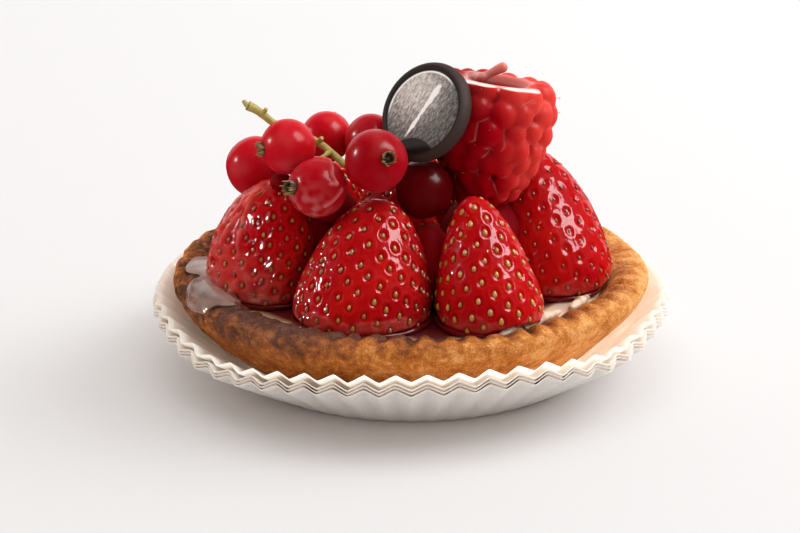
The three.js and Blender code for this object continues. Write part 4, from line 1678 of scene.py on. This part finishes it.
def rim_top(radius, angle):
    """Height of the shell's rim at a distance from the middle."""
    return np.interp(radius, *RIM_PROFILE) + rim_level(angle) * CRUST["rim_rise"]


def crust_film(number):
    """A lobe of the glaze that has run from the left strawberry over the rim."""
    bearing, distance, outward_half, along_half, thick = GLAZE_LOBES[number]

    def place(first, second):
        across, along = first * 2 - 1, second * 2 - 1
        right = across * np.sqrt(1 - along ** 2 / 2)
        up = along * np.sqrt(1 - across ** 2 / 2)
        share = np.hypot(right, up)
        turned_to = np.arctan2(up, right)
        wobble = 1 + 0.1 * np.sin(3 * turned_to + number + 1) + 0.06 * np.sin(5 * turned_to)
        radius = distance + right * outward_half * wobble
        angle = math.radians(bearing) + up * along_half * wobble / distance
        fold = near_to(share, 0.84, 0.1) * held(-up - 0.1 * right)
        body = np.sqrt(held(1 - share ** 2))
        height = rim_top(radius, angle) + thick * body + 0.5 * fold - 0.12
        return np.column_stack([radius * np.cos(angle), radius * np.sin(angle), height])

    piece = film(f"crust_glaze_{number + 1}", place, 0.1, 50, 50)
    points = points_of(piece)
    radius, _ = round_middle(points)
    near = held((distance + 2.2 - radius) / 4)
    milk = 0.32 * (number + 1) - 0.02 + near * 0.35 + noise_at(points, 2.2, 79) * 0.2
    put_values(piece, "milk", held(milk, 0.1, 0.9))
    return piece


def foot_juice(index):
    """A bead of juice round a strawberry's foot, dark as painted shade there."""
    berry = STRAWBERRIES[index]
    draw = draws_from(1100 + index)
    count = 44
    angles = np.arange(count) / count * TURN
    share = np.full(count, 0.012)
    width = berry_width(share, berry[4], berry[5]) + 0.012
    path = berry_places(berry, index, share, width, angles)
    radii = [0.28 + 0.3 * draw() for _ in range(count)]
    piece = strand(f"strawberry_{index + 1}_juice", path, radii, 8)
    smooth(piece)
    return piece


def glaze_and_shade_between():
    """Dark glaze that fills the gaps between the fruit, standing also for the painted shade there.
    """
    pieces = []
    for centre, radii in GAP_GLAZE_AND_SHADE_LUMPS:
        lump = small_ball(5)
        put_points(lump, points_of(lump) * np.array(radii) + np.array(centre))
        pieces.append(lump)
    piece = joined("glaze_and_shade_between_fruit", pieces)
    points = points_of(piece)
    put_points(piece, points + normals_of(piece) * noise_at(points, 3.0, 74)[:, None] * 0.3)
    smooth(piece)
    return piece


def cream_dabs():
    """Cream squeezed out against the rim between the strawberries."""
    dabs = [
        strand(f"dab_{number}", path, (0.5, 0.95, 0.85, 0.4), 14)
        for number, path in enumerate(CREAM_DABS)
    ]
    piece = joined("cream_dabs", dabs)
    subdivide(piece, 1)
    points = points_of(piece)
    lumps = noise_at(points, 1.4, 71) * 0.3 + noise_at(points, 0.6, 72) * 0.1
    put_points(piece, points + normals_of(piece) * lumps[:, None])
    put_values(piece, "juice_and_shade", held(0.1 + noise_at(points, 1.5, 73) * 0.5))
    smooth(piece)
    return piece


def cream_material(colours):
    """Set cream, tinted tan and then dark red where juice has run over it, and dark red under the
    fruit as painted shade.
    """
    material, shader = surface(
        "set_cream", colours.cream, 0.5, subsurface_weight=0.6, subsurface_scale=0.6 * MM,
        coat_weight=0.25, coat_roughness=0.2, coat_ior=1.4)
    shader.inputs["Subsurface Radius"].default_value = (1.0, 0.6, 0.4)
    pale = tuple(colours.cream)
    tan = (pale[0] * 0.5, pale[1] * 0.32, pale[2] * 0.22)
    tone = ramp(material, stored(material, "juice_and_shade"), (
        (0.12, pale), (0.5, tan), (0.95, (0.14, 0.003, 0.004))))
    join(material, tone, shader.inputs["Base Color"])
    roughen(material, shader, grain(material, 1.2, 3), 0.12)
    return material


# One operator for each piece or group of pieces, and one for the stage

class TARTLET_OT_paper_cases(bpy.types.Operator):
    """Models the nest of fluted paper cases"""

    bl_idname = "tartlet.paper_cases"
    bl_label = "Paper Cases"

    def execute(self, context):
        sizes, colours = context.scene.tartlet_sizes, context.scene.tartlet_colours
        plain = paper_material(colours, False)
        stained_and_lit = paper_material(colours, True)
        for index in range(PAPER["sheets"]):
            innermost = index == PAPER["sheets"] - 1
            piece = paper_sheet(index, sizes)
            settle(piece, "paper_case", stained_and_lit if innermost else plain, f"paper_case_{index + 1}")
        return {"FINISHED"}


class TARTLET_OT_crust(bpy.types.Operator):
    """Models the crimped pastry shell"""

    bl_idname = "tartlet.crust"
    bl_label = "Crust"

    def execute(self, context):
        piece = crust_shell(context.scene.tartlet_sizes)
        settle(piece, "crust", crust_material(context.scene.tartlet_colours), "crust")
        return {"FINISHED"}


class TARTLET_OT_cream(bpy.types.Operator):
    """Models the cream filling"""

    bl_idname = "tartlet.cream"
    bl_label = "Cream"

    def execute(self, context):
        material = cream_material(context.scene.tartlet_colours)
        settle(cream_filling(), "cream", material, "cream")
        settle(cream_dabs(), "cream", material)
        return {"FINISHED"}


class TARTLET_OT_strawberries(bpy.types.Operator):
    """Models the strawberries, their seeds and the beads of glaze on them"""

    bl_idname = "tartlet.strawberries"
    bl_label = "Strawberries"

    def execute(self, context):
        sizes, colours = context.scene.tartlet_sizes, context.scene.tartlet_colours
        skin = strawberry_material(colours, "glazed_strawberry", True)
        beads = strawberry_material(colours, "glaze_beads", False)
        gold = seed_material(colours)
        for index in range(len(STRAWBERRIES)):
            piece, seeds = strawberry(index, sizes)
            settle(piece, "strawberry", skin, f"strawberry_{index + 1}")
            settle(seeds, "strawberry", gold)
        for index in sorted({area[0] for area in STREWN}):
            settle(glaze_facets(index), "strawberry", beads)
        return {"FINISHED"}


class TARTLET_OT_glaze(bpy.types.Operator):
    """Models the glaze on the shell and, as painted shade too, between the fruit, and the dark
    juice at each strawberry's foot
    """

    bl_idname = "tartlet.glaze"
    bl_label = "Glaze"

    def execute(self, context):
        clear = glaze_material()
        for number in range(len(GLAZE_LOBES)):
            settle(crust_film(number), "crust", clear)
        red = juice_and_shade_material()
        for index in range(len(STRAWBERRIES)):
            settle(foot_juice(index), "strawberry", red)
        settle(glaze_and_shade_between(), "strawberry", gap_glaze_and_shade_material())
        return {"FINISHED"}


class TARTLET_OT_currants(bpy.types.Operator):
    """Models the redcurrants and their dried flower ends"""

    bl_idname = "tartlet.currants"
    bl_label = "Currants"

    def execute(self, context):
        colours = context.scene.tartlet_colours
        skin = currant_material(colours)
        dry = husk_material(colours)
        for index in range(len(CURRANTS)):
            settle(currant(index), "currant", skin, f"currant_{index + 1}")
            settle(currant_husk(index), "currant", dry)
        return {"FINISHED"}


class TARTLET_OT_currant_stem(bpy.types.Operator):
    """Models the stalk of the currants"""

    bl_idname = "tartlet.currant_stem"
    bl_label = "Currant Stem"

    def execute(self, context):
        material = stem_material(context.scene.tartlet_colours)
        settle(currant_stalk(), "currant_stem", material, "currant_stem")
        return {"FINISHED"}


class TARTLET_OT_raspberry(bpy.types.Operator):
    """Models the upturned raspberry"""

    bl_idname = "tartlet.raspberry"
    bl_label = "Raspberry"

    def execute(self, context):
        material = raspberry_material(context.scene.tartlet_colours)
        fruit, hair = raspberry()
        settle(fruit, "raspberry", material, "raspberry")
        dry, _ = surface("raspberry_hair", (0.42, 0.2, 0.1), 0.5, subsurface_weight=0.3,
                         subsurface_scale=0.2 * MM)
        settle(hair, "raspberry", dry)
        return {"FINISHED"}


class TARTLET_OT_chocolate_disc(bpy.types.Operator):
    """Models the chocolate disc with its silver face"""

    bl_idname = "tartlet.chocolate_disc"
    bl_label = "Chocolate Disc"

    def execute(self, context):
        material = disc_material(context.scene.tartlet_colours)
        settle(chocolate_disc(), "chocolate_disc", material, "chocolate_disc")
        return {"FINISHED"}


def soft_light(context, name, way, distance, size, power, colour, lights):
    """A soft lamp that shines on surfaces, shows as a gleam in glossy ones, or does both."""
    lamp = bpy.data.lights.new(name, "AREA")
    lamp.shape = "RECTANGLE"
    lamp.size, lamp.size_y = size
    lamp.energy = power
    lamp.color = colour
    holder = bpy.data.objects.new(name, lamp)
    context.scene.collection.objects.link(holder)
    away = Vector(way).normalized()
    holder.location = away * distance + Vector((0, 0, LAMP_TARGET_HEIGHT))
    holder.rotation_euler = away.to_track_quat("Z", "Y").to_euler()
    holder.visible_diffuse = lights != "gleam"
    holder.visible_glossy = lights != "fill"


def studio_floor():
    """The pale table top under the tartlet."""
    bpy.ops.mesh.primitive_plane_add(size=8, location=(0, 0, -0.05 * MM))
    floor = bpy.context.object
    floor.name = "pale_floor"
    material, _ = surface("pale_floor", (0.72, 0.735, 0.75), 0.7, specular_ior_level=0.1)
    floor.data.materials.append(material)
    floor.visible_glossy = False
    return floor


def studio_world(context):
    """Dim warm light from all round, which no gloss mirrors."""
    world = context.scene.world or bpy.data.worlds.new("studio")
    world.use_nodes = True
    background = world.node_tree.nodes["Background"]
    background.inputs["Color"].default_value = (1.0, 0.91, 0.85, 1)
    background.inputs["Strength"].default_value = 0.67
    world.cycles_visibility.glossy = False
    context.scene.world = world
    context.scene.view_settings.view_transform = "Standard"


def studio_camera(context):
    """The camera that sees the tartlet as the photograph does."""
    lens = bpy.data.cameras.new("camera")
    lens.lens = CAMERA["lens"]
    lens.sensor_width = CAMERA["sensor"]
    lens.clip_start = 0.01
    holder = bpy.data.objects.new("camera", lens)
    context.scene.collection.objects.link(holder)
    place = Vector(CAMERA["place"])
    holder.location = place
    holder.rotation_euler = (place - Vector(CAMERA["target"])).to_track_quat("Z", "Y").to_euler()
    context.scene.camera = holder


class TARTLET_OT_stage(bpy.types.Operator):
    """Adds the pale floor, the soft studio light and the camera"""

    bl_idname = "tartlet.stage"
    bl_label = "Stage"

    def execute(self, context):
        start_afresh()
        floor = studio_floor()
        for lamp in LAMPS:
            soft_light(context, *lamp)
        studio_world(context)
        studio_camera(context)
        return {"FINISHED"}


OPERATORS = (
    TARTLET_OT_paper_cases, TARTLET_OT_crust, TARTLET_OT_cream, TARTLET_OT_strawberries,
    TARTLET_OT_glaze, TARTLET_OT_currants, TARTLET_OT_currant_stem, TARTLET_OT_raspberry,
    TARTLET_OT_chocolate_disc, TARTLET_OT_stage,
)


class TARTLET_PT_panel(bpy.types.Panel):
    """Lists the tartlet's sizes, colours and pieces"""

    bl_idname = "TARTLET_PT_panel"
    bl_label = "Tartlet"
    bl_space_type = "VIEW_3D"
    bl_region_type = "UI"
    bl_category = "Tartlet"

    def draw(self, context):
        for group in (context.scene.tartlet_sizes, context.scene.tartlet_colours):
            for name in type(group).__annotations__:
                self.layout.prop(group, name)
        for operator in OPERATORS:
            self.layout.operator(operator.bl_idname)


CLASSES = (TartletSizes, TartletColours, *OPERATORS, TARTLET_PT_panel)


def register():
    """Registers the classes and gives each scene its sizes and colours."""
    for item in CLASSES:
        bpy.utils.register_class(item)
    bpy.types.Scene.tartlet_sizes = bpy.props.PointerProperty(type=TartletSizes)
    bpy.types.Scene.tartlet_colours = bpy.props.PointerProperty(type=TartletColours)


def unregister():
    """Takes back what register did."""
    del bpy.types.Scene.tartlet_colours
    del bpy.types.Scene.tartlet_sizes
    for item in reversed(CLASSES):
        bpy.utils.unregister_class(item)


def main():
    """Builds the tartlet and its stage."""
    register()
    for operator in OPERATORS:
        group, name = operator.bl_idname.split(".")
        getattr(getattr(bpy.ops, group), name)()


if __name__ == "__main__":
    main()
